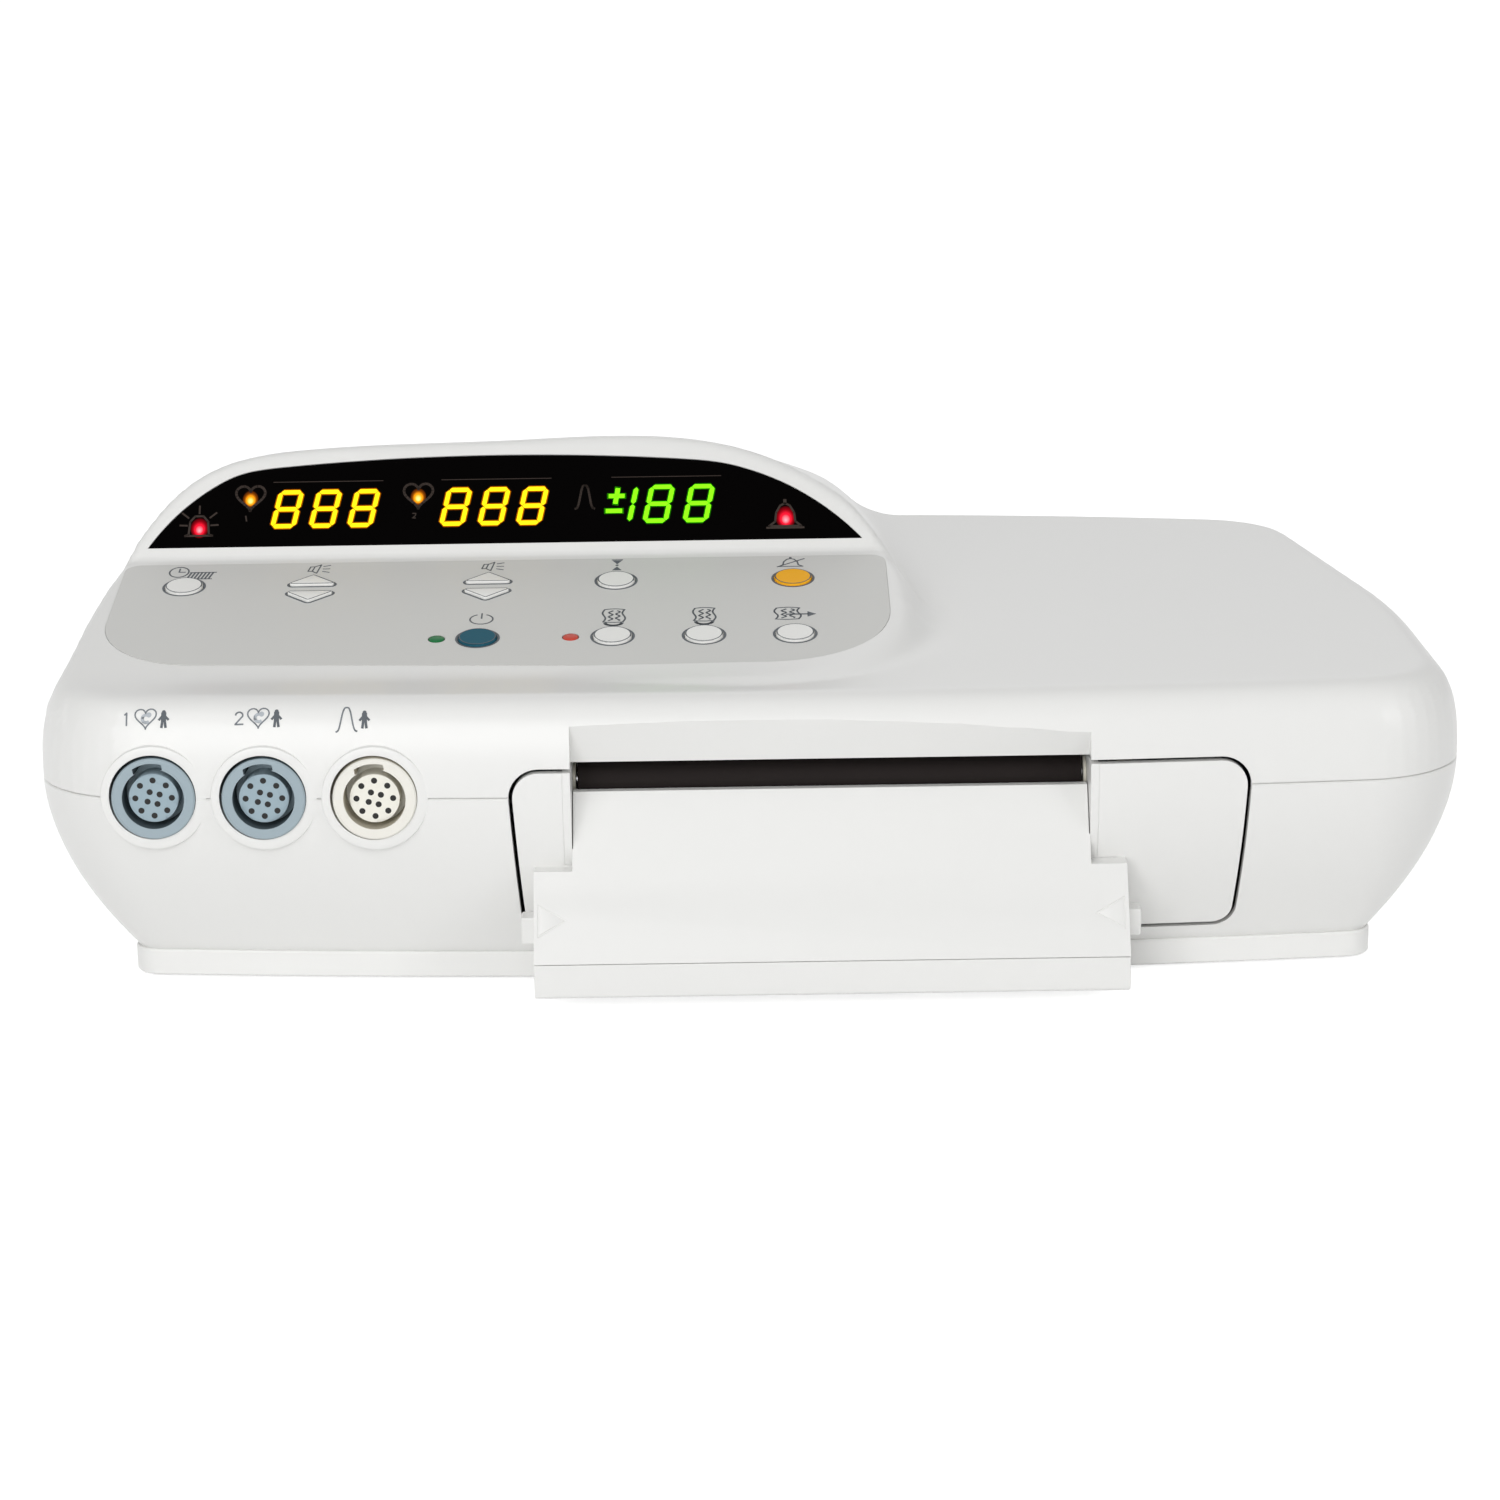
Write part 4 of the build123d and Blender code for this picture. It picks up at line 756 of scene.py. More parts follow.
@dataclass
class Form:
    """Shape of the housing, worked out in millimetres from the CAD source's sizes.

    Insets are shares of the shoulder. The fields that end in _round are sizes of soft edges, and
    those that end in _join are sizes of the soft valleys between body, wedge and hood.
    """

    half_width: float = 223.0
    front_y: float = -140.25
    back_y: float = 155.75
    seam: float = 64.5
    deck: float = 94.0
    plinth: float = 9.5
    foot: float = 1.2
    front_bow: float = 10.0
    back_bow: float = 26.0
    straight: float = 125.0
    narrowing: float = 22.0
    front_radius: float = 36.0
    blend_radius: float = 380.0
    rear_radius: float = 40.0
    least_radius: float = 4.0
    belly: float = 28.5
    belly_power: float = 1.9
    belly_front: float = 0.605
    plinth_proud: float = 1.2
    foot_draw: float = 5.5
    foot_delay: float = 40.0
    shoulder: float = 14.0
    power: float = 2.6
    wall: float = 3.0
    panel_tilt: float = math.radians(12.0)
    glass_tilt: float = math.radians(54.0)
    panel_length: float = 92.9
    toe_y: float = -104.25
    pod_base: float = 86.0
    pod_rise: float = 32.0
    flank_heights: tuple = (0.0, 0.31, 0.48, 0.66, 0.85, 1.0)
    flank_insets: tuple = (0.2, 0.5, 0.6, 0.78, 1.01, 1.28)
    pod_right: float = 50.0
    pod_right_height: float = 107.0
    pod_bulge: float = 1.5
    pod_flank: float = math.radians(35.0)
    pod_corner: float = 54.0
    crest: float = 148.0
    crest_fall: float = math.radians(11.5)
    draw: float = 10.0
    hood_inset: float = 0.19
    hood_size: tuple = (283.0, 62.0)
    hood_x: tuple = (0.0, 0.015, 0.04, 0.076, 0.122, 0.236, 0.487, 0.79, 0.855, 0.895, 0.933)
    hood_z: tuple = (0.0, 0.161, 0.44, 0.665, 0.836, 0.961, 1.0, 0.903, 0.766, 0.644, 0.44)
    hood_start: tuple = (-0.2, -2.2)
    hood_stop: tuple = (1.2, -1.3)
    back_heights: tuple = (0.0, 0.25, 0.5, 1.0)
    back_insets: tuple = (0.13, 0.45, 0.85, 2.1)
    back_spare: float = 3.0
    wedge_round: float = 3.5
    roof_round: float = 10.0
    glass_round: float = 2.4
    valley_lap: float = 1.0
    left_join: float = 1.6
    right_join: float = 6.0
    join_run: float = 60.0
    edge_join: float = 0.02
    valley_join: float = 1.2
    valley_run: float = 4.0
    margin: float = 4.0
    skirt: float = 9.3
    free_skirt: float = 7.5
    headroom: float = 6.0

    def __post_init__(self) -> None:
        """Works out the valley, the plan outline and the hood's section."""
        self.valley_y = self.toe_y + self.panel_length * math.cos(self.panel_tilt)
        self.valley_z = self.deck + self.panel_length * math.sin(self.panel_tilt)
        self.plan = self.outline(0.0, 0.0, 10)
        self.section = self.hood_section()

    def panel(self, x: np.ndarray, along: np.ndarray, height: np.ndarray) -> np.ndarray:
        """Place on the keypad's slope: X, the way up the slope and the height over it.

        Args:
            x: places along X.
            along: ways up the slope.
            height: heights over it.

        Returns:
            X, Y and Z, turned by the slope's angle about its foot.
        """
        cos, sin = math.cos(self.panel_tilt), math.sin(self.panel_tilt)
        return np.stack([x, self.toe_y + along * cos - height * sin,
                         self.deck + along * sin + height * cos], axis=-1)

    def glass(self, x: np.ndarray, along: np.ndarray, height: np.ndarray) -> np.ndarray:
        """Place on the window's slope: X, the way up the slope and the height over it.

        Args:
            x: places along X.
            along: ways up the slope.
            height: heights over it.

        Returns:
            X, Y and Z, turned by the slope's angle about the valley.
        """
        cos, sin = math.cos(self.glass_tilt), math.sin(self.glass_tilt)
        return np.stack([x, self.valley_y + along * cos - height * sin,
                         self.valley_z + along * sin + height * cos], axis=-1)

    def outline(self, side_inset: float, front_inset: float, steps: int = 12,
                ease: float = 0.0) -> np.ndarray:
        """Plan of the housing, drawn in: arcs and lines from the front's middle, then mirrored.

        Args:
            side_inset: how far the sides and the rear are drawn in.
            front_inset: how far the front is drawn in.
            steps: divisions of each arc and line.
            ease: from 0 to 1, how far the taper starts later and narrows less.

        Returns:
            Points, always as many for the same steps.
        """
        side = self.half_width - side_inset
        rear = side - self.narrowing + ease * self.foot_draw
        nose = self.front_y + front_inset
        taper = self.front_y + self.straight + ease * self.foot_delay
        tail = self.back_y - side_inset
        radius = max(self.front_radius - side_inset, self.least_radius)
        back_radius = max(self.rear_radius - side_inset, self.least_radius)
        large = (side * side + self.front_bow ** 2) / (2 * self.front_bow)
        centre = np.array([0.0, nose + large])
        small = np.array([side - radius, 0.0])
        small[1] = centre[1] - math.sqrt((large - radius) ** 2 - small[0] ** 2)
        touch = centre + (small - centre) * large / (large - radius)
        share = np.linspace(0, 1, steps, endpoint=False)
        angle = math.atan2(touch[1] - centre[1], touch[0])
        angles = -math.pi / 2 + (angle + math.pi / 2) * np.linspace(0, 1, 3 * steps,
                                                                   endpoint=False)
        parts = [centre + large * directions(angles)]
        parts.append(small + radius * directions(angle * (1 - share)))
        tail_corner = tail - self.back_bow
        slant = np.array([rear - side, tail_corner - taper])
        slant /= np.linalg.norm(slant)
        normal = np.array([-slant[1], slant[0]])
        bend = math.atan2(-slant[0], slant[1])
        reach = self.blend_radius * math.tan(bend / 2)
        middle = np.array([side - self.blend_radius, taper - reach])
        parts.append(np.array([side, small[1]]) + share[:, None]
                     * np.array([0.0, taper - reach - small[1]]))
        parts.append(middle + self.blend_radius * directions(bend * share))
        wide = (rear * rear + self.back_bow ** 2) / (2 * self.back_bow)
        origin = np.array([0.0, tail - wide])
        start = np.array([side, taper]) + normal * back_radius
        away = start - origin
        half = away @ slant
        rest = away @ away - (wide - back_radius) ** 2
        knee = start + slant * (-half + math.sqrt(half * half - rest))
        foot = knee - normal * back_radius
        first = np.array([side, taper]) + slant * reach
        parts.append(first + share[:, None] * (foot - first))
        end = math.atan2(knee[1] - origin[1], knee[0])
        parts.append(knee + back_radius * directions(bend + (end - bend) * share))
        angles = end + (math.pi / 2 - end) * np.linspace(0, 1, 3 * steps + 1)
        parts.append(origin + wide * directions(angles))
        right = np.concatenate(parts)
        left = right[1:-1][::-1] * np.array([-1.0, 1.0])
        return np.concatenate([right, left])

    def hood_section(self) -> np.ndarray:
        """Shares of the hood's section: a cubic through its points, over the chord's length.

        Returns:
            Rows of a share of the width and a share of the height.
        """
        points = np.stack([self.hood_x, self.hood_z], axis=1) * np.array(self.hood_size)
        knots = np.concatenate([[0], np.cumsum(np.linalg.norm(np.diff(points, axis=0), axis=1))])
        gaps = np.diff(knots)
        count = len(knots)
        system = np.eye(count)
        right = np.zeros((count, 2))
        for n in range(1, count - 1):
            system[n, n - 1:n + 2] = gaps[n - 1], 2 * (gaps[n - 1] + gaps[n]), gaps[n]
            right[n] = 6 * ((points[n + 1] - points[n]) / gaps[n]
                            - (points[n] - points[n - 1]) / gaps[n - 1])
        bend = np.linalg.solve(system, right)
        fine = np.linspace(0, knots[-1], 3000)
        n = np.clip(np.searchsorted(knots, fine, side="right") - 1, 0, count - 2)
        gap = gaps[n][:, None]
        a = (knots[n + 1] - fine)[:, None] / gap
        b = 1 - a
        curve = (a * points[n] + b * points[n + 1]
                 + ((a ** 3 - a) * bend[n] + (b ** 3 - b) * bend[n + 1]) * gap ** 2 / 6)
        curve = curve / np.array(self.hood_size)
        return np.concatenate([[self.hood_start], curve, [(1.0, 0.0), self.hood_stop]])

    def plan_distance(self, x: np.ndarray, y: np.ndarray) -> np.ndarray:
        """Distance to the plan outline, negative inside: the nearest of its edges.

        Args:
            x: places along X.
            y: places along Y.

        Returns:
            The distance at each place.
        """
        start = self.plan
        edge = np.roll(start, -1, axis=0) - start
        best = np.full(x.shape, np.inf)
        winding = np.zeros(x.shape, bool)
        for (sx, sy), (ex, ey) in zip(start, edge):
            px, py = x - sx, y - sy
            share = np.clip((px * ex + py * ey) / (ex * ex + ey * ey), 0, 1)
            best = np.minimum(best, (px - share * ex) ** 2 + (py - share * ey) ** 2)
            if ey:
                crosses = (sy > y) != (sy + ey > y)
                winding ^= crosses & (px < ex * py / ey)
        return np.sqrt(best) * np.where(winding, -1, 1)

    def field(self, x: np.ndarray, y: np.ndarray, z: np.ndarray,
              flat: np.ndarray | None = None) -> np.ndarray:
        """Field of the upper shell, near to the distance and negative inside.

        It is the union of the rounded body, the keypad's wedge and the hood. The body is a
        superellipse in height and in depth from the plan. The wedge is what lies under the
        panel's plane and inside the flanks. The hood is what lies under its section, behind
        the glass's plane and inside the rear flank. The valley between wedge and hood is soft
        inside and hard near the flank, and the one round both grows softer to the right.

        Args:
            x: places along X.
            y: places along Y.
            z: places along Z.
            flat: distance to the plan outline, if it is known.

        Returns:
            The field at each place.
        """
        edge = self.plan_distance(x, y) if flat is None else flat
        a = np.maximum(self.shoulder + edge, 0) / self.shoulder
        rise = self.deck - self.seam
        s = np.maximum(z - self.seam, 0) / rise
        total = (a ** self.power + s ** self.power) ** (1 / self.power) + 1e-9
        slope = np.sqrt(((a / total) ** (self.power - 1) / self.shoulder) ** 2
                        + ((s / total) ** (self.power - 1) / rise) ** 2)
        body = (total - 1) / np.maximum(slope, 1 / rise)
        plane = ((z - self.deck) * math.cos(self.panel_tilt)
                 - (y - self.toe_y) * math.sin(self.panel_tilt))
        heights = self.pod_base + np.array(self.flank_heights) * self.pod_rise
        inset = np.interp(z, heights, np.array(self.flank_insets) * self.shoulder)
        flank = edge + inset
        corner = self.toe_y + self.pod_corner
        middle = (corner + self.valley_y) / 2
        bulge = self.pod_bulge * np.clip(
            1 - ((y - middle) / (self.valley_y - middle)) ** 2, 0, 1)
        round_corner = (np.hypot(np.maximum(x - self.pod_right + self.pod_corner, 0),
                                 np.maximum(corner - y, 0)) - self.pod_corner - bulge)
        right = ((round_corner - (self.pod_right_height - z) * math.tan(self.pod_flank))
                 * math.cos(self.pod_flank))
        wedge = smooth_max(plane, np.maximum(flank, right), self.wedge_round)
        wedge = np.maximum(wedge, y - self.valley_y - self.valley_lap)
        wedge = np.maximum(wedge, self.pod_base - z)
        run = y - self.valley_y
        taper = self.front_y + self.straight
        narrow = np.clip((y - taper) / (self.back_y - self.back_bow - taper), 0, None)
        left = (-(self.half_width - self.narrowing * narrow)
                + self.hood_inset * self.shoulder)
        end = (self.pod_right + (self.pod_right_height - self.pod_base)
               * math.tan(self.pod_flank) - self.draw * run / (self.back_y - self.valley_y))
        rim = (self.crest - self.valley_z) / math.tan(self.glass_tilt)
        top = self.crest - (run - rim) * math.tan(self.crest_fall) - self.pod_base
        share = (x - left) / (end - left)
        cover = np.interp(share, self.section[:, 0], self.section[:, 1])
        step = 0.002
        grade = (np.interp(share + step, self.section[:, 0], self.section[:, 1]) - cover) / step
        grade = grade * top / (end - left)
        roof = (z - self.pod_base - cover * top) / np.sqrt(1 + grade * grade)
        glass = ((z - self.valley_z) * math.cos(self.glass_tilt)
                 - (y - self.valley_y) * math.sin(self.glass_tilt))
        heights = (self.pod_base + np.array(self.back_heights)
                   * (self.crest - self.pod_base + self.back_spare))
        rear = edge + np.interp(z, heights, np.array(self.back_insets) * self.shoulder)
        hood = smooth_max(smooth_max(roof, rear, self.roof_round), glass, self.glass_round)
        hood = np.maximum(hood, self.pod_base - z)
        soft = self.edge_join + self.valley_join * np.clip(-flank / self.valley_run, 0, 1)
        pod = smooth_min(wedge, hood, soft)
        right = np.clip((x + self.join_run) / self.join_run, 0, 1)
        return smooth_min(body, pod, self.right_join * right + self.left_join)

    def gradient(self, points: np.ndarray) -> np.ndarray:
        """Slope of the field at points, from differences over a twentieth of a millimetre.

        Args:
            points: one row of X, Y and Z for each point.

        Returns:
            The field's three slopes.
        """
        step = 0.05
        made = []
        for axis in range(3):
            shift = np.zeros(3)
            shift[axis] = step
            ahead, behind = (points + shift).T, (points - shift).T
            made.append((self.field(*ahead) - self.field(*behind)) / (2 * step))
        return np.stack(made, axis=1)

    def surface(self, name: str, offset: float, cell: float) -> tuple[bpy.types.Mesh, np.ndarray]:
        """Mesh of the upper shell's field at an offset inwards, by surface nets.

        A vertex stands in each grid cell that the surface crosses, at the mean of its edge
        crossings, and is then moved along the field's slope onto the surface. The skirt under
        the seam, which a cut removes, closes the mesh below.

        Args:
            name: the mesh's name.
            offset: distance inwards.
            cell: size of the grid's cells.

        Returns:
            The mesh and its normals.
        """
        low = np.array([-self.half_width - self.margin, self.front_y - self.margin,
                        self.seam - self.skirt])
        high = np.array([self.half_width + self.margin, self.back_y + self.margin,
                         self.crest + self.headroom])
        axes = [np.arange(a, b, cell) for a, b in zip(low, high)]
        gx, gy = np.meshgrid(axes[0], axes[1], indexing="ij")
        flat = self.plan_distance(gx, gy)
        layers = [self.field(gx, gy, np.full(gx.shape, z), flat) + offset for z in axes[2]]
        values = np.stack(layers, axis=2)
        values[:, :, 0] = np.abs(values[:, :, 0]) + cell / 2
        inside = values < 0
        shape = [n - 1 for n in values.shape]
        total = np.zeros(shape + [3])
        count = np.zeros(shape)
        for axis in range(3):
            others = [n for n in range(3) if n != axis]
            one = np.take(values, range(values.shape[axis] - 1), axis=axis)
            two = np.take(values, range(1, values.shape[axis]), axis=axis)
            hit = (one < 0) != (two < 0)
            cross = np.where(hit, one / np.where(hit, one - two, 1), 0)
            for a in (0, 1):
                for b in (0, 1):
                    cut = [slice(None)] * 3
                    cut[others[0]] = slice(a, a + shape[others[0]])
                    cut[others[1]] = slice(b, b + shape[others[1]])
                    here = hit[tuple(cut)]
                    count += here
                    total[..., axis] += cross[tuple(cut)] * here
                    total[..., others[0]] += a * here
                    total[..., others[1]] += b * here
        active = count > 0
        numbers = -np.ones(shape, int)
        numbers[active] = np.arange(active.sum())
        cells = np.argwhere(active)
        points = low + (cells + total[active] / count[active][:, None]) * cell
        quads = []
        for axis in range(3):
            others = [n for n in range(3) if n != axis]
            one = np.take(inside, range(inside.shape[axis] - 1), axis=axis)
            two = np.take(inside, range(1, inside.shape[axis]), axis=axis)
            for flip, hit in ((False, one & ~two), (True, ~one & two)):
                at = np.argwhere(hit)
                beside = at[:, others]
                at = at[((beside > 0) & (beside < np.array(shape)[others])).all(axis=1)]
                corner = []
                for a, b in ((0, 0), (1, 0), (1, 1), (0, 1)):
                    place = at.copy()
                    place[:, others[0]] -= 1 - a
                    place[:, others[1]] -= 1 - b
                    corner.append(numbers[tuple(place.T)])
                quad = np.stack(corner, axis=1)
                quads.append(quad[:, ::-1] if flip != (axis == 1) else quad)
        faces = np.concatenate(quads)
        free = points[:, 2] > self.seam - self.free_skirt
        for _ in range(3):
            slope = self.gradient(points[free])
            size = (slope * slope).sum(axis=1) + 1e-9
            miss = self.field(*points[free].T) + offset
            move = slope * (miss / size)[:, None]
            points[free] -= np.clip(move, -cell, cell)
        return make_mesh(name, points, faces), unit_rows(self.gradient(points))

    def belly_ring(self, z: float, inward: float = 0.0) -> np.ndarray:
        """Ring of the lower body at a height: the plan, drawn in by a power of the depth.

        Args:
            z: the height.
            inward: distance from the skin towards the inside.

        Returns:
            The ring's points.
        """
        ease = max(0.0, (self.seam - z) / (self.seam - self.plinth)) ** self.belly_power
        inset = self.belly * ease
        flat = self.outline(inset + inward, self.belly_front * inset + inward, ease=min(ease, 1.0))
        return plan_view(flat[:, 0], flat[:, 1], np.full(len(flat), z))

    def shoulder_ring(self, z: float, inward: float = 0.0) -> np.ndarray:
        """Ring of the upper body at a height, from the superellipse of its shoulder.

        Args:
            z: the height.
            inward: distance from the skin towards the inside.

        Returns:
            The ring's points.
        """
        share = min(1.0, max(0.0, (z - self.seam) / (self.deck - self.seam)))
        inset = self.shoulder * (1 - (1 - share ** self.power) ** (1 / self.power))
        flat = self.outline(inset + inward, inset + inward)
        return plan_view(flat[:, 0], flat[:, 1], np.full(len(flat), z))

    def plinth_ring(self, z: float, inward: float = 0.0) -> np.ndarray:
        """Ring of the foot band.

        Args:
            z: the height.
            inward: distance from the skin towards the inside.

        Returns:
            The ring's points.
        """
        side = self.belly - self.plinth_proud + inward
        front = self.belly_front * self.belly - self.plinth_proud + inward
        flat = self.outline(side, front, ease=1.0)
        return plan_view(flat[:, 0], flat[:, 1], np.full(len(flat), z))


FORM = Form()
PALETTE = Palette()


@dataclass
class Plans:
    """Outlines that neighbouring pieces share, each of which can be grown by a spread."""

    window_x: tuple = (0.0, 0.049, 0.127, 0.45, 0.801, 0.91, 1.0)
    window_z: tuple = (0.0, 0.445, 0.856, 1.0, 0.899, 0.564, 0.0)
    window_left: float = -201.0
    window_width: float = 239.7
    window_sill: float = 4.6
    window_height: float = 32.6
    window_points: int = 240
    knot_rounds: int = 60
    knot_weight: float = 1.6
    knot_reach: float = 16.0
    overlay_corners: tuple = ((-207.2, 12.4), (46.0, 3.2), (46.0, 88.7), (-207.2, 88.7))
    overlay_front: tuple = (32.0, 41.0)
    overlay_rear: tuple = (5.0, 5.0)
    arrow_base: float = 2.6
    arrow_tip: float = 10.3
    arrow_half: float = 8.7
    arrow_radius: float = 0.9
    arrow_middle: float = 67.5
    arrow_growth: tuple = (2.64, 1.34)
    door_corners: tuple = ((-69.9, 15.7), (149.3, 15.7), (152.7, 71.9), (-73.3, 71.9))
    door_radii: tuple = (6.0, 6.0, 8.0, 8.0)

    @staticmethod
    def grown(corners: Points, spread: float) -> np.ndarray:
        """Four corners, from the lower left one anticlockwise, moved outwards both ways."""
        return np.array(corners) + spread * np.array([(-1, -1), (1, -1), (1, 1), (-1, 1)])

    def window(self, spread: float) -> np.ndarray:
        """Display window: three arcs over a flat sill, with soft shoulders.

        Near the two inner knots each point moves towards a mean of its neighbours.

        Args:
            spread: how far the outline is grown.

        Returns:
            The outline.
        """
        x = self.window_left - spread + np.array(self.window_x) * (self.window_width + 2 * spread)
        w = self.window_sill - spread + np.array(self.window_z) * (self.window_height + 2 * spread)
        knots = np.stack([x, w], axis=1)
        arcs = [arc_through(knots[n], knots[n + 1], knots[n + 2], 60) for n in (0, 2, 4)]
        line = np.concatenate(arcs + [knots[-1:]])
        even = np.cumsum(np.concatenate([[0], np.linalg.norm(np.diff(line, axis=0), axis=1)]))
        steps = np.linspace(0, even[-1], self.window_points)
        line = np.stack([np.interp(steps, even, line[:, n]) for n in (0, 1)], axis=1)
        soft = line.copy()
        for _ in range(self.knot_rounds):
            soft[1:-1] = (soft[:-2] + 2 * soft[1:-1] + soft[2:]) / 4
        near = np.minimum(*[np.linalg.norm(line - knots[n], axis=1) for n in (2, 4)])
        weight = np.clip(self.knot_weight - near / self.knot_reach, 0, 1)[:, None]
        return line + (soft - line) * weight

    def overlay(self, spread: float) -> np.ndarray:
        """Keypad overlay: large round corners in front, small ones at the rear."""
        front = [radius + spread for radius in self.overlay_front]
        return rounded(self.grown(self.overlay_corners, spread), (*front, *self.overlay_rear), 16)

    def arrow(self, x: float, points_up: bool, spread: float) -> np.ndarray:
        """Arrow key: a flat triangle with soft corners.

        Args:
            x: the key's middle.
            points_up: True for the upper key.
            spread: how far the outline is grown.

        Returns:
            The outline.
        """
        side = 1 if points_up else -1
        half = self.arrow_half + self.arrow_growth[0] * spread
        base = self.arrow_middle + side * (self.arrow_base - spread)
        tip = self.arrow_middle + side * (self.arrow_tip + self.arrow_growth[1] * spread)
        corners = [(x - half, base), (x + half, base), (x, tip)]
        return rounded(corners, (self.arrow_radius + spread,) * 3, 5)

    def door(self, spread: float) -> np.ndarray:
        """Front view of the drawer's door: it narrows downwards and has round corners."""
        radii = [radius + spread for radius in self.door_radii]
        return rounded(self.grown(self.door_corners, spread), radii, 8)


PLANS = Plans()


class Row(Enum):
    """Rows of the keypad, by their way up the slope in millimetres."""

    FRONT = 27.6
    REAR = 70.6


@dataclass
class Sockets:
    """The three round sockets on the seam, left of the drawer."""

    places: tuple = (-183.0, -148.9, -114.8)
    seam: float = 64.5
    proud: float = 0.8
    collar_radius: float = 16.4
    collar_depth: float = 6.5
    collar_hole: float = 14.0
    collar_round: float = 0.7
    ring_round: float = 0.35
    insert_round: float = 0.12
    bore_radius: float = 13.35
    bore_shift: tuple = (-0.32, 0.28)
    room_radius: float = 18.2
    # Each socket's ring, insert, and the painted shade deep in the ring's groove.
    finishes: tuple = ((Finish.BLUE, Finish.BLUE_INSERT, Finish.BLUE_SHADE),
                       (Finish.BLUE, Finish.BLUE_INSERT, Finish.BLUE_SHADE),
                       (Finish.IVORY, Finish.IVORY_INSERT, Finish.IVORY_SHADE))
    contact_rings: tuple = ((8, 5.6, 0.0), (4, 2.2, 30.0))
    contact_radius: float = 0.95
    groove_depth: float = 1.6

    def face(self, x: float) -> float:
        """Front of a socket's collar on the bowed front."""
        return FORM.front_y + FORM.front_bow * (x / FORM.half_width) ** 2 - self.proud

    def turned(self, name: str, profile: Points,
               shift: Sequence[float] = (0.0, 0.0)) -> list[bpy.types.Object]:
        """Turns a profile of radius and depth behind the face at each socket.

        Args:
            name: name of the pieces.
            profile: radius and depth of each point.
            shift: the axis's shift from the socket's middle.

        Returns:
            One closed piece a socket.
        """
        made = []
        for x in self.places:
            line = [(radius, self.face(x) + depth) for radius, depth in profile]
            at = x + shift[0], self.seam + shift[1]
            made.append(make_object(name, lathe(name, line, front_view, at, 72)))
        return made

    def collars(self) -> list[bpy.types.Object]:
        """Collars to be joined to a shell: discs with a rounded front edge.

        Returns:
            The three collars.
        """
        radius, edge = self.collar_radius, self.collar_round
        return self.turned("collar", ((self.collar_hole, 0.0), (radius - edge, 0.0),
                                      (radius - 0.2, 0.2), (radius, edge),
                                      (radius, self.collar_depth)))

    def bores(self) -> list[bpy.types.Object]:
        """Bores to be cut, a little off centre so that a dark edge shows beside each ring.

        Returns:
            The three bores.
        """
        profile = ((self.bore_radius, -40.0), (self.bore_radius, self.collar_depth),
                   (self.room_radius, self.collar_depth), (self.room_radius, 20.0))
        return self.turned("bore", profile, self.bore_shift)

    def build(self) -> None:
        """Builds the rings and inserts from the CAD nodes, with soft edges."""
        for n, (ring, insert, groove_shade) in enumerate(self.finishes, start=1):
            node = f"receptacle_shell_{n}"
            slot = "ivory_plastic" if n == 3 else "blue_plastic"
            piece = dress(softened(f"socket_ring_{n}", node, self.ring_round), "housing", ring,
                          slot, (node,))
            # Painted shade on the faces that lie deep in the ring's groove.
            self.paint_groove_shade(piece, groove_shade)
            node = f"receptacle_core_{n}"
            slot = "ivory_plastic" if n == 3 else "blue_insert"
            piece = dress(softened(f"socket_insert_{n}", node, self.insert_round, 1), "housing",
                          insert, slot, (node,))
            front = min(corner[1] for corner in piece.bound_box) / MM
            x = self.places[n - 1]
            # Dark discs of painted shade over the mouths of the contact holes.
            marks = []
            for count, radius, turn in self.contact_rings:
                for k in range(count):
                    angle = math.radians(turn + 360 * k / count)
                    marks.append(Fill(circle(x + radius * math.cos(angle),
                                             self.seam + radius * math.sin(angle),
                                             self.contact_radius, 20)))
            lay_print_and_shade(f"contact_mouths_{n}", marks, front_view, front, Finish.HOLE_SHADE,
                        thickness=0.02)

    def paint_groove_shade(self, piece: bpy.types.Object, finish: Finish) -> None:
        """Gives a ring's faces that lie deep in its groove a darker finish, as painted shade.

        Args:
            piece: the ring.
            finish: the finish of the painted shade.
        """
        mesh = piece.data
        mesh.materials.append(PALETTE.get(finish))
        centres = np.empty(len(mesh.polygons) * 3)
        mesh.polygons.foreach_get("center", centres)
        depth = centres[1::3] / MM
        deep = depth > depth.min() + self.groove_depth
        mesh.polygons.foreach_set("material_index", deep.astype(np.int32))


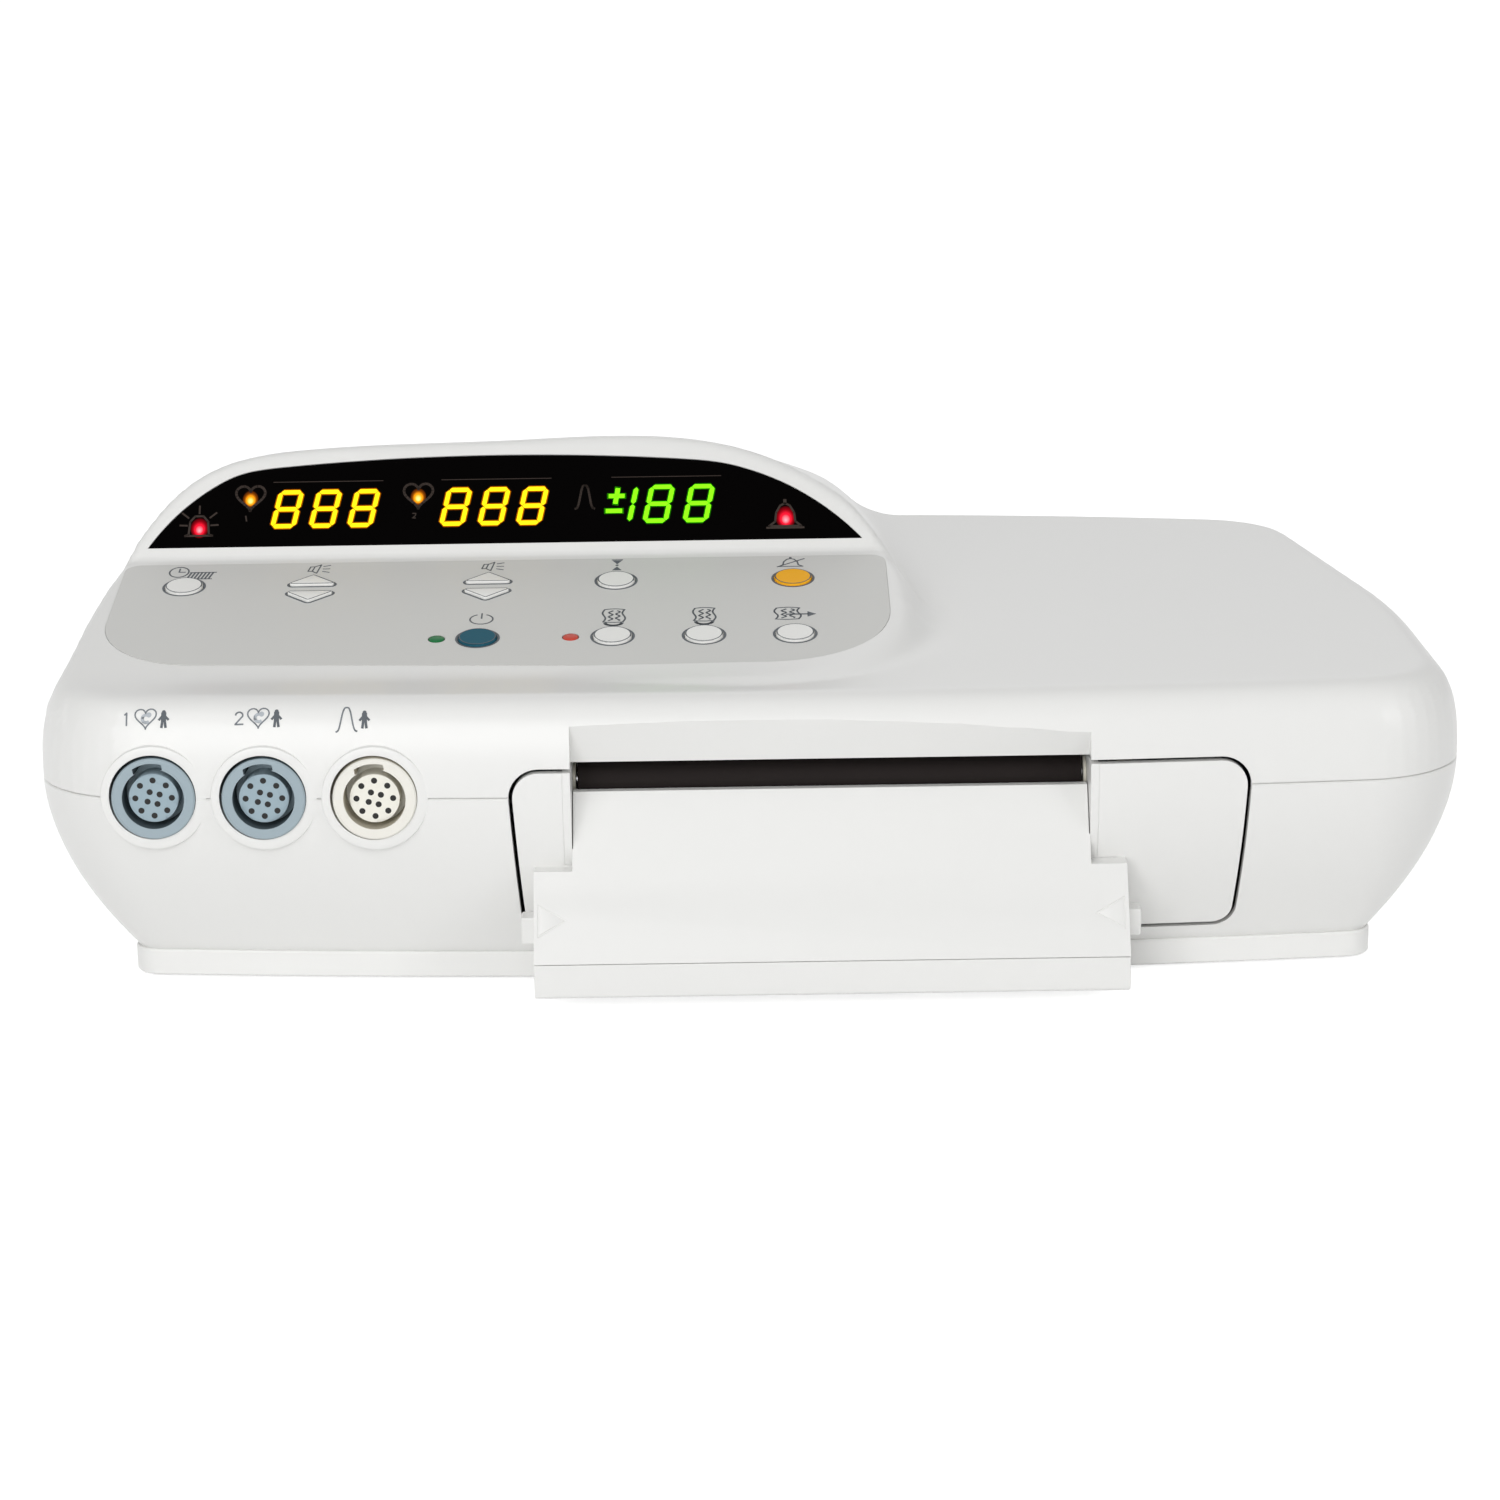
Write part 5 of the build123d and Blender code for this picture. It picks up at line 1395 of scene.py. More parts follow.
@dataclass
class Housing:
    """The two shells of the case."""

    bosses: tuple = ((-188.0, -92.0), (188.0, -92.0), (-188.0, 25.0), (188.0, 25.0),
                     (-160.0, 100.0), (160.0, 100.0))
    cell: float = 2.25
    quick_cell: float = 3.4
    inner_cell: float = 5.0
    boss_radius: float = 4.5
    boss_low: float = 2.0
    boss_middle: float = 40.0
    boss_top: float = 152.0
    foot_round: float = 0.6
    band_round: tuple = (0.5, 0.4)
    rim_round: float = 0.35
    rim_step: float = 1.0
    cut_top: float = 30.0
    ledge_depth: float = -12.0
    pane_depth: float = -2.2
    recess_depth: float = -0.5
    feet: tuple = ((-140.0, -96.0), (140.0, -96.0), (-140.0, 100.0), (140.0, 100.0))
    pocket: tuple = (9.1, 2.2)
    screw_head: tuple = (3.7, 3.5)
    screw_shank: tuple = (2.05, 80.0)
    bay_walls: tuple = ((-122.5, 117.5, 11.5), (122.5, 170.0, 52.5))
    bay: tuple = ((-120.0, 80.0, 14.0), (120.0, 200.0, 50.0))
    rim_low: float = 63.6
    rim_top: float = 64.0
    mouth: tuple = (-180.0, -104.25)
    mouth_gap: float = 1.3
    pane_gap: float = 0.12
    ledge: float = 2.0
    slot_left: float = -55.0
    slot_right: float = 104.0
    slot_spare: float = 2.5
    lintel_y: tuple = (-180.25, -129.25)
    lintel_z: tuple = (73.2, 92.5)
    brow_back: float = -131.25
    brow_low: float = 30.0
    slots: int = 9
    slot_pitch: float = 6.0
    slot_edges: tuple = (-53.3, -50.7)
    slot_end: float = 1.2
    grille_x: float = -130.0
    grille_radius: float = 30.0
    brow_x: tuple = (-55.0, -15.0, 25.0, 65.0, 104.0)
    brow_y: tuple = (-137.8, -137.6, -137.8, -138.6, -139.9)
    brow_top: tuple = (88.1, 88.9, 89.2, 88.4, 86.8)

    def build_upper(self, sockets: Sockets, keypad: "Keypad") -> bpy.types.Object:
        """Top shell: the field's surface, hollowed, with its openings cut.

        Args:
            sockets: the sockets whose collars and bores it takes.
            keypad: the keypad whose holes it takes.

        Returns:
            The dressed shell.
        """
        cell = self.cell
        mesh, normals = FORM.surface("upper_shell", 0.0, cell)
        source = mesh.copy()
        shell = make_object("upper_shell", mesh)
        inner = make_object("inner", FORM.surface("inner", FORM.wall, self.inner_cell)[0])
        (near, far), (low, high) = self.lintel_y, self.lintel_z
        lintel = box("lintel", (self.slot_left - self.slot_spare, near, low),
                     (self.slot_right + self.slot_spare, far, high))
        posts = self.posts("post", self.boss_radius, self.boss_middle, self.boss_top)
        combine(inner, posts + [lintel])
        combine(shell, sockets.collars(), "UNION")
        cuts = [inner, self.brow(), self.opening()]
        for name, plan, place, depth in (
                ("ledge", PLANS.window(-self.ledge), FORM.glass, self.ledge_depth),
                ("pane", PLANS.window(self.pane_gap), FORM.glass, self.pane_depth),
                ("recess", PLANS.overlay(self.pane_gap), FORM.panel, self.recess_depth)):
            cuts.append(prism(name, plan, place, depth, self.cut_top))
        cuts += keypad.holes() + sockets.bores()
        cuts.append(box("below", (-300, -300, 40), (300, 300, FORM.seam)))
        combine(shell, cuts)
        carry_normals(shell, source, normals)
        return dress(shell, "housing", Finish.CASE, "case_plastic", ("upper_case",))

    def brow(self) -> bpy.types.Object:
        """Recess over the slot: side-view sections whose upper edge arches along X.

        Returns:
            The closed piece to be cut.
        """
        rings = []
        places = np.linspace(self.slot_left, self.slot_right, 9)
        front, back, low = self.mouth[0], self.brow_back, self.brow_low
        for x, y, top in zip(places, np.interp(places, self.brow_x, self.brow_y),
                             np.interp(places, self.brow_x, self.brow_top)):
            section = np.array([(front, low), (back, low), (back, self.lintel_z[0]), (y, top),
                                (front, top)])
            rings.append(side_view(section[:, 0], section[:, 1], np.full(5, x)))
        return make_object("brow", ring_mesh("brow", np.stack(rings)))

    def posts(self, name: str, radius: float, low: float,
              high: float) -> list[bpy.types.Object]:
        """Round posts between two heights where the case screws stand."""
        return [prism(name, circle(x, y, radius, 24), plan_view, low, high)
                for x, y in self.bosses]

    def opening(self) -> bpy.types.Object:
        """Opening for the drawer in the front of both shells, wider than its door."""
        return prism("mouth", PLANS.door(self.mouth_gap), front_view, *self.mouth)

    def grille(self) -> list[bpy.types.Object]:
        """Slots under the speaker, each as long as the circle is wide at its middle.

        Returns:
            The closed pieces to be cut.
        """
        made = []
        for n in range(self.slots):
            run = self.slot_pitch * (n - (self.slots - 1) / 2)
            half = math.sqrt(self.grille_radius ** 2 - run ** 2)
            slot = rectangle(self.grille_x - half, self.grille_x + half,
                             run + self.slot_edges[0], run + self.slot_edges[1])
            made.append(prism("grille", rounded(slot, (self.slot_end,) * 4, 4), plan_view, 0.0,
                              6.0))
        return made

    def build_lower(self, sockets: Sockets) -> bpy.types.Object:
        """Bottom shell: rings up the outside, over the seam's groove and down the inside.

        Args:
            sockets: the sockets whose collars and bores it takes.

        Returns:
            The dressed shell.
        """
        f = FORM
        heights = np.linspace(f.plinth, self.rim_low, 26)
        edge, (drop, draw) = self.foot_round, self.band_round
        outside = [f.plinth_ring(z, inward) for z, inward in (
            (f.foot, edge), (f.foot + edge, 0.0), (f.plinth - drop, 0.0), (f.plinth, draw),
            (f.plinth, f.plinth_proud))]
        outside += [f.belly_ring(z) for z in heights[1:]]
        rim = [f.belly_ring(z, inward) for z, inward in (
            (self.rim_top, self.rim_round), (self.rim_top, self.rim_step),
            (f.seam, self.rim_step), (f.seam, f.wall))]
        inside = [f.belly_ring(z, f.wall) for z in heights[::-2]]
        inside += [f.plinth_ring(f.plinth, f.wall + f.plinth_proud),
                   f.plinth_ring(f.foot + f.wall, f.wall)]
        mesh = ring_mesh("lower_shell", np.stack(outside + rim + inside))
        shell = make_object("lower_shell", mesh)
        bay = box("bay_walls", *self.bay_walls)
        skin = outside[:-1] + [f.belly_ring(self.rim_top)]
        combine(bay, [make_object("skin", ring_mesh("skin", np.stack(skin)))], "INTERSECT")
        posts = self.posts("post", self.boss_radius, self.boss_low, f.seam)
        combine(shell, [bay] + posts + sockets.collars(), "UNION")
        cuts = [self.opening(), box("bay", *self.bay),
                box("above", (-300, -300, f.seam), (300, 300, 90))]
        cuts += sockets.bores()
        radius, depth = self.pocket
        cuts += [prism("pocket", circle(x, y, radius), plan_view, 0.0, depth)
                 for x, y in self.feet]
        for name, (radius, depth) in (("screw", self.screw_head), ("shank", self.screw_shank)):
            cuts += self.posts(name, radius, 0.0, depth)
        combine(shell, cuts + self.grille())
        shade(shell.data, 28)
        return dress(shell, "housing", Finish.CASE, "case_plastic", ("lower_case",))


@dataclass
class Drawer:
    """Paper drawer: door, tray, apron, lip and latches."""

    toe: tuple = (-155.75, 16.0)
    slot: tuple = (-128.45, 63.0)
    left: float = -66.8
    right: float = 115.0
    chute_left: float = -55.0
    chute_right: float = 104.0
    shoulder_height: float = 41.2
    door_y: float = -134.6
    door_low: float = 11.0
    door_high: float = 80.0
    notch: tuple = ((-57.5, -180.0, 42.0), (106.5, -100.0, 94.0))
    leaf: float = 0.4
    door_step: float = 2.0
    shoulder_thick: float = 3.0
    lip_round: float = 1.1
    tray_round: float = 0.4
    latch_round: float = 0.5
    bush_round: float = 0.25
    apron_round: float = 0.5

    def build(self) -> None:
        """Builds the drawer's pieces."""
        f = FORM
        heights = np.concatenate([np.linspace(self.door_low, f.seam, 26),
                                  np.linspace(f.seam + self.door_step, self.door_high, 8)])

        def ring(z: float, inward: float) -> np.ndarray:
            """Ring of the body's skin at a height."""
            return f.belly_ring(z, inward) if z <= f.seam else f.shoulder_ring(z, inward)

        outside = [ring(z, 0.0) for z in heights]
        inside = [ring(z, f.wall) for z in heights[::-1]]
        door = make_object("drawer_door", ring_mesh("drawer_door", np.stack(outside + inside),
                                                    looped=True))
        edge = prism("edge", PLANS.door(0.0), front_view, -180.0, f.toe_y)
        combine(door, [edge], "INTERSECT")
        combine(door, [box("notch", *self.notch)])
        shade(door.data, 28)
        dress(door, "drawer", Finish.CASE, "case_plastic", ("drawer_front",))
        for name, node, width in (("lip", "tray_lip", self.lip_round),
                                  ("tray", "paper_tray", self.tray_round)):
            dress(softened(name, node, width), "drawer", Finish.CASE, "case_plastic", (node,))
        self.apron()
        for side in ("left", "right"):
            node = f"{side}_latch"
            dress(softened(f"{side}_finger_latch", node, self.latch_round), node, Finish.CASE,
                  "case_plastic", (node,))
        self.springs()
        dress(softened("bushes", "roller_bushes", self.bush_round), "drawer", Finish.GEAR,
              "gear_plastic", ("roller_bushes",))

    def springs(self) -> None:
        """Bent leaf behind each latch.

        The leaf is a V of two straight legs, offset by its thickness.
        """
        share = np.linspace(0, 1, 13)[:, None]
        for side in ("left", "right"):
            node = f"{side}_latch_spring"
            low, high = (np.array(corner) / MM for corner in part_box(node))
            ends, tip = (low[0], high[0]) if side == "left" else (high[0], low[0])
            middle = (low[1] + high[1]) / 2
            slack = self.leaf * (tip - ends) / (high[1] - middle)
            corners = [(ends, low[1]), (tip, middle), (ends, high[1]),
                       (ends, high[1] - self.leaf), (tip - slack, middle),
                       (ends, low[1] + self.leaf)]
            legs = [np.array(corners[n]) + share * np.subtract(corners[n + 1], corners[n])
                    for n in (0, 1, 3, 4)]
            face = np.concatenate([legs[0], legs[1][1:], legs[2], legs[3][1:]])
            piece = prism(f"{side}_leaf_spring", face, plan_view, low[2], high[2])
            shade(piece.data, 20)
            PALETTE.paint(piece, Finish.STEEL)
            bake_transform(piece)
            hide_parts(node)
            LOG.info("%s: %d vertices", piece.name, len(piece.data.vertices))

    def apron(self) -> None:
        """Builds the apron: the CAD form with its two shoulders lowered and closed on top."""
        apron = softened("apron", "paper_apron", 0.0)
        low, high = self.shoulder_height - self.shoulder_thick, self.shoulder_height
        fall = (self.slot[0] - self.toe[0]) / (self.slot[1] - self.toe[1])
        run = [self.toe[0] + (z - self.toe[1]) * fall for z in (low, high)]
        section = [(run[0], low), (run[1], high), (self.door_y, high), (self.door_y, low)]
        for left, right in ((self.left, self.chute_left), (self.chute_right, self.right)):
            combine(apron, [prism("ledge", section, side_view, left, right)], "UNION")
            grow = (-1.0, 0.0) if left < 0 else (0.0, 1.0)
            combine(apron, [box("above", (left + grow[0], -170.0, high),
                                (right + grow[1], -100.0, 80.0))])
        bevel(apron, self.apron_round)
        dress(apron, "drawer", Finish.CASE, "case_plastic", ("paper_apron",))


@dataclass
class Roller:
    """Rubber roller behind the slot."""

    y: float = -117.05
    z: float = 64.0
    radius: float = 7.3
    bore: float = 2.52
    left: float = -53.4
    right: float = 102.4
    sides: int = 64
    edge: float = 0.5
    turn: float = 0.15

    def build(self) -> None:
        """Builds the sleeve: a bored tube with a fine ground surface and soft ends."""
        a, b, r, edge, turn = self.left, self.right, self.radius, self.edge, self.turn
        line = np.array([(self.bore, a), (r - edge, a), (r - turn, a + turn), (r, a + edge),
                         (r, b - edge), (r - turn, b - turn), (r - edge, b), (self.bore, b)])
        angle = np.linspace(0, 2 * math.pi, self.sides, endpoint=False)[None, :]
        rings = side_view(self.y + line[:, :1] * np.cos(angle),
                          self.z + line[:, :1] * np.sin(angle),
                          np.broadcast_to(line[:, 1:], (len(line), self.sides)))
        mesh = ring_mesh("roller", rings, looped=True)
        shade(mesh, 40)
        dress(make_object("roller_sleeve", mesh), "platen", Finish.RUBBER, "roller_rubber",
              ("platen_roller",))


@dataclass
class Keypad:
    """Overlay, keys and lamps on the sloping panel."""

    key_radius: float = 6.15
    key_top: float = 1.0
    key_round: float = 0.22
    edge_band: tuple = (-0.24, -0.52)
    edge_film: float = 0.03
    rim_band: tuple = (0.02, 1.0)
    slip: float = 0.3
    round_keys: tuple = (("setup_key", -185.7, Row.REAR), ("reference_key", -43.3, Row.REAR),
                         ("silence_key", 15.0, Row.REAR), ("power_key", -86.4, Row.FRONT),
                         ("record_key", -43.3, Row.FRONT), ("mark_key", -14.1, Row.FRONT),
                         ("advance_key", 15.0, Row.FRONT))
    arrow_keys: tuple = (("volume_1_up_key", -143.6, True), ("volume_1_down_key", -143.6, False),
                         ("volume_2_up_key", -85.6, True), ("volume_2_down_key", -85.6, False))
    lamps: tuple = (-99.5, -56.7)
    lamp_radius: float = 2.5
    dome: tuple = ((2.5, -6.0), (2.5, 0.1), (2.35, 0.32), (1.9, 0.5), (1.2, 0.6), (0.5, 0.62))
    window_lamps: tuple = ((-184.0, 11.8), (13.2, 12.6), (-167.2, 22.2), (-110.6, 22.2))
    window_drop: float = 4.2
    sheet_low: float = -0.48
    sheet_top: float = 0.2
    hole: tuple = (-9.0, 20.0)

    @property
    def names(self) -> list[str]:
        """Names of all keys, in the order of their outlines."""
        return [key[0] for key in self.round_keys + self.arrow_keys]

    def plans(self, spread: float) -> list[np.ndarray]:
        """Outlines of all keys and lamps, grown by a spread.

        Args:
            spread: how far each outline is grown.

        Returns:
            The outlines of the round keys, the arrow keys and the lamps.
        """
        made = [circle(x, row.value, self.key_radius + spread) for _, x, row in self.round_keys]
        made += [PLANS.arrow(x, up, spread) for _, x, up in self.arrow_keys]
        made += [circle(x, Row.FRONT.value, self.lamp_radius + spread, 32) for x in self.lamps]
        return made

    def holes(self) -> list[bpy.types.Object]:
        """Holes in the shell under the keys."""
        return [prism("hole", plan, FORM.panel, *self.hole) for plan in self.plans(self.slip)]

    def build(self) -> None:
        """Builds the overlay with its holes, the keys and the two lamps."""
        sheet = prism("overlay", PLANS.overlay(0.0), FORM.panel, self.sheet_low, self.sheet_top)
        combine(sheet, self.holes())
        shade(sheet.data, 30)
        dress(sheet, "housing", Finish.OVERLAY, "overlay_film", ("keypad_overlay",))
        colours = {"silence_key": (Finish.YELLOW_KEY, "yellow_key"),
                   "power_key": (Finish.TEAL_KEY, "teal_key")}
        for name in self.names:
            finish, slot = colours.get(name, (Finish.WHITE_KEY, "white_key"))
            dress(softened(f"{name}_cap", name, self.key_round), name, finish, slot, (name,))
        self.lamp_domes()
        self.rims()
        self.icons()

    def lamp_domes(self) -> None:
        """Domed lamps in the panel and behind the window, as one piece with three finishes."""
        meshes = [lathe("lamp", self.dome, FORM.panel, (x, Row.FRONT.value), 32)
                  for x in self.lamps]
        behind = [(radius, depth - self.window_drop) for radius, depth in self.dome]
        meshes += [lathe("lamp", behind, FORM.glass, place, 24) for place in self.window_lamps]
        finishes = (Finish.GREEN_LAMP, Finish.RED_LAMP, Finish.RED_LAMP, Finish.RED_LAMP,
                    Finish.AMBER_GLOW, Finish.AMBER_GLOW)
        piece = merged("lamp_domes", meshes, finishes)
        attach(piece, "housing")
        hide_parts("indicator_lamps")

    def rims(self) -> None:
        """Dark line round each key, laid on the overlay and on the key's edge."""
        for name, outer, inner in zip(self.names, *map(self.plans, self.edge_band)):
            lay_print_and_shade(f"{name}_edge", [Loop(outer, inner)], FORM.panel, self.key_top,
                        Finish.INK, name, self.edge_film)
        near, far = self.rim_band
        marks = [Loop(outer, inner) for _, inner, outer
                 in zip(self.names, self.plans(self.slip + near), self.plans(far))]
        lay_print_and_shade("key_rims", marks, FORM.panel, self.sheet_top, Finish.INK)

    def icons(self) -> None:
        """Pictograms over the keys, all generic, by places on the slope in millimetres."""
        marks: list[Mark] = []
        x, s = -188.9, 82.6
        marks += [Stroke(circle(x, s, 3.2, 24) * (1, 1.25) - (0, 0.25 * s), 0.5, True),
                  Stroke([(x, s), (x, s + 2.8)], 0.5), Stroke([(x, s), (x + 2.0, s)], 0.5)]
        for n in range(7):
            marks.append(Stroke([(x + 3.2 + n * 1.2, s - 5.4), (x + 4.2 + n * 1.2, s - 0.6)], 0.6))
        marks += [Stroke([(x + 2.6, s - 5.6), (x + 11.4, s - 5.6)], 0.5),
                  Stroke([(x + 3.8, s - 0.4), (x + 12.4, s - 0.4)], 0.5)]
        for x in (-142.8, -85.0):
            s = 83.6
            marks += [Stroke([(x - 3.2, s - 1.8), (x - 1.8, s - 1.8), (x - 0.2, s - 3.4),
                              (x + 0.8, s + 3.4), (x - 1.2, s + 1.8), (x - 2.6, s + 1.8)],
                             0.45, True),
                      Stroke([(x - 1.8, s - 1.8), (x - 1.2, s + 1.8)], 0.45)]
            marks += [Stroke([(x + 1.7, s + n * 2.0), (x + 3.9, s + n * 2.8)], 0.45)
                      for n in (-1, 0, 1)]
        x, s = -43.3, 83.0
        marks += [Fill([(x - 1.6, s + 3.8), (x + 1.6, s + 3.8), (x, s + 0.9)]),
                  Fill([(x - 1.6, s - 4.0), (x + 1.6, s - 4.0), (x, s - 1.1)]),
                  Fill(circle(x, s, 0.55, 12)),
                  Stroke([(x - 1.7, s + 4.4), (x + 1.7, s + 4.4)], 0.6)]
        x, s = 14.4, 83.2
        marks += bell(x, s, 3.0, 6.4, 0.5)
        marks.append(Stroke([(x - 4.4, s - 3.4), (x + 4.6, s + 3.0)], 0.5))
        x, s = -86.0, 42.0
        marks += [Stroke(arc_points(x, s, 3.7, 3.7, 115, 425), 0.5),
                  Stroke([(x, s + 0.6), (x, s + 4.4)], 0.5)]
        for x in (-43.3, -14.1):
            marks += chart(x, 43.2, 6.4, 9.4)
            marks.append(Stroke(arc_points(x, 37.8, 2.7, 2.0, 185, 355), 1.1))
        marks.append(Fill([(x - 1.6, 35.4), (x + 1.6, 35.4), (x, 33.7)]))
        marks += chart(12.8, 43.0, 7.4, 8.4)
        marks.append(Stroke([(12.4, 42.4), (19.6, 42.4)], 0.8))
        marks.append(Fill([(19.2, 44.4), (19.2, 40.4), (22.0, 42.4)]))
        lay_print_and_shade("keypad_icons", marks, FORM.panel, self.sheet_top, Finish.INK)


@dataclass(frozen=True)
class Stroke:
    """Printed line of even width along a path."""

    path: Points
    width: float
    closed: bool = False

    def polygons(self) -> list[np.ndarray]:
        """Four-cornered pieces along the path, each lengthened a little to close the bends.

        Returns:
            One outline for each stretch of the path.
        """
        line = np.asarray(self.path, float)
        if self.closed:
            line = np.concatenate([line, line[:1]])
        run = unit_rows(np.diff(line, axis=0))
        across = np.stack([-run[:, 1], run[:, 0]], axis=1) * self.width / 2
        lap = run * self.width * 0.3
        first, last = line[:-1] - lap, line[1:] + lap
        return list(np.stack([first - across, last - across, last + across, first + across],
                             axis=1))


@dataclass(frozen=True)
class Fill:
    """Solid shape, printed or of painted shade."""

    outline: Points

    def polygons(self) -> list[np.ndarray]:
        """The one outline."""
        return [np.asarray(self.outline, float)]


@dataclass(frozen=True)
class Loop:
    """Band between two outlines with as many points."""

    outer: Points
    inner: Points

    def polygons(self) -> list[np.ndarray]:
        """Quads between the two outlines."""
        a, b = np.asarray(self.outer, float), np.asarray(self.inner, float)
        return list(np.stack([a, np.roll(a, -1, axis=0), np.roll(b, -1, axis=0), b], axis=1))


Mark = Stroke | Fill | Loop


def arc_points(x: float, y: float, wide: float, high: float, start: float,
               stop: float) -> np.ndarray:
    """Points of an ellipse between two angles in degrees."""
    angles = np.radians(np.linspace(start, stop, 20))
    return (x, y) + np.array([wide, high]) * directions(angles)


def bell(x: float, y: float, half: float, height: float, line: float) -> list[Mark]:
    """Outline of a bell with its knob and its rim.

    Args:
        x: first number of the place.
        y: second number of the place.
        half: half of the bell's width.
        height: its height.
        line: width of the line.

    Returns:
        The marks.
    """
    low, top = y - height / 2, y + height / 2
    path = [(x - half * 1.35, low), (x - half * 0.85, low + height * 0.2),
            (x - half * 0.75, low + height * 0.6), (x - half * 0.4, top - height * 0.1),
            (x, top), (x + half * 0.4, top - height * 0.1), (x + half * 0.75, low + height * 0.6),
            (x + half * 0.85, low + height * 0.2), (x + half * 1.35, low)]
    return [Stroke(path, line, True), Stroke([(x, top), (x, top + height * 0.14)], line * 1.6)]


def heart(x: float, y: float, half: float, height: float) -> np.ndarray:
    """Heart outline: sixteen sine cubed across, cosine terms up.

    Args:
        x: first number of the place.
        y: second number of the place.
        half: half of the heart's width.
        height: its height.

    Returns:
        The outline.
    """
    t = np.linspace(0, 2 * math.pi, 36, endpoint=False)
    across = np.sin(t) ** 3
    up = (13 * np.cos(t) - 5 * np.cos(2 * t) - 2 * np.cos(3 * t) - np.cos(4 * t)) / 17
    return np.stack([x + half * across, y + height / 2 * (up + 0.12)], axis=1)


def person(x: float, y: float, height: float) -> list[Mark]:
    """Small standing figure: a dot for the head, a body, arms and two legs.

    Args:
        x: first number of the place.
        y: second number of the place.
        height: the figure's height, of which all its parts are shares.

    Returns:
        The marks.
    """
    h = height
    return [Fill(circle(x, y + 0.42 * h, 0.115 * h, 14)),
            Stroke([(x, y + 0.29 * h), (x, y - 0.06 * h)], 0.3 * h),
            Stroke([(x, y + 0.25 * h), (x - 0.27 * h, y - 0.06 * h)], 0.13 * h),
            Stroke([(x, y + 0.25 * h), (x + 0.27 * h, y - 0.06 * h)], 0.13 * h),
            Stroke([(x - 0.05 * h, y), (x - 0.12 * h, y - 0.5 * h)], 0.15 * h),
            Stroke([(x + 0.05 * h, y), (x + 0.12 * h, y - 0.5 * h)], 0.15 * h)]


def pressure_curve(x: float, y: float, half: float, height: float) -> np.ndarray:
    """Smooth peak with a foot on each side, as on a chart.

    Args:
        x: first number of the place.
        y: second number of the place.
        half: half of the curve's width.
        height: the peak's height.

    Returns:
        The points, whose height falls with a power of the distance from the middle.
    """
    share = np.linspace(-1, 1, 40)
    peak = np.exp(-np.abs(share * 1.75) ** 3.2)
    return np.stack([x + half * share, y + height * (peak - 0.5)], axis=1)


def chart(x: float, y: float, wide: float, high: float) -> list[Mark]:
    """Strip of chart paper with curled edges and two traces.

    Args:
        x: first number of the place.
        y: second number of the place.
        wide: the strip's width.
        high: its height.

    Returns:
        The marks.
    """
    rise = np.linspace(-0.5, 0.5, 16)
    marks: list[Mark] = []
    for side in (-0.5, 0.5):
        edge = np.stack([x + wide * (side - 0.08 * np.sin(rise * 7)), y + high * rise], axis=1)
        marks.append(Stroke(edge, 0.55))
    for level, bend in ((0.5, 0.06), (-0.5, -0.04)):
        run = np.linspace(-0.5, 0.5, 10)
        edge = np.stack([x + wide * run, y + high * (level + bend * np.cos(run * 3.1))], axis=1)
        marks.append(Stroke(edge, 0.45))
    for place, phase in ((-0.16, 0.0), (0.2, 2.2)):
        wave = np.stack([x + wide * (place + 0.1 * np.sin(rise * 15 + phase)),
                         y + 0.8 * high * rise], axis=1)
        marks.append(Stroke(wave, 0.6))
    return marks


def lay_print_and_shade(name: str, marks: Sequence[Mark], place: Place, height: float, finish: Finish,
                body: str = "housing", thickness: float = 0.06) -> bpy.types.Object:
    """Shapes of print and of painted shade as a thin film: each outline, raised from just under a
    surface.

    Args:
        name: the piece's name.
        marks: the shapes.
        place: maps two numbers and a height to X, Y and Z.
        height: height of the surface.
        finish: the ink, or the finish of the painted shade.
        body: the body that carries it.
        thickness: how far the film stands out.

    Returns:
        The dressed piece.
    """
    vertices: list[np.ndarray] = []
    faces: list[list[int]] = []
    total = 0
    for mark in marks:
        for flat in mark.polygons():
            area = np.roll(flat, -1, axis=0)
            if (flat[:, 0] * area[:, 1] - area[:, 0] * flat[:, 1]).sum() < 0:
                flat = flat[::-1]
            count = len(flat)
            for level in (height - thickness, height + thickness):
                vertices.append(place(flat[:, 0], flat[:, 1], np.full(count, level)))
            faces.append(list(range(total, total + count))[::-1])
            faces.append(list(range(total + count, total + 2 * count)))
            faces += (band_faces(2, count) + total).tolist()
            total += 2 * count
    piece = make_object(name, make_mesh(name, np.concatenate(vertices), faces))
    return dress(piece, body, finish)


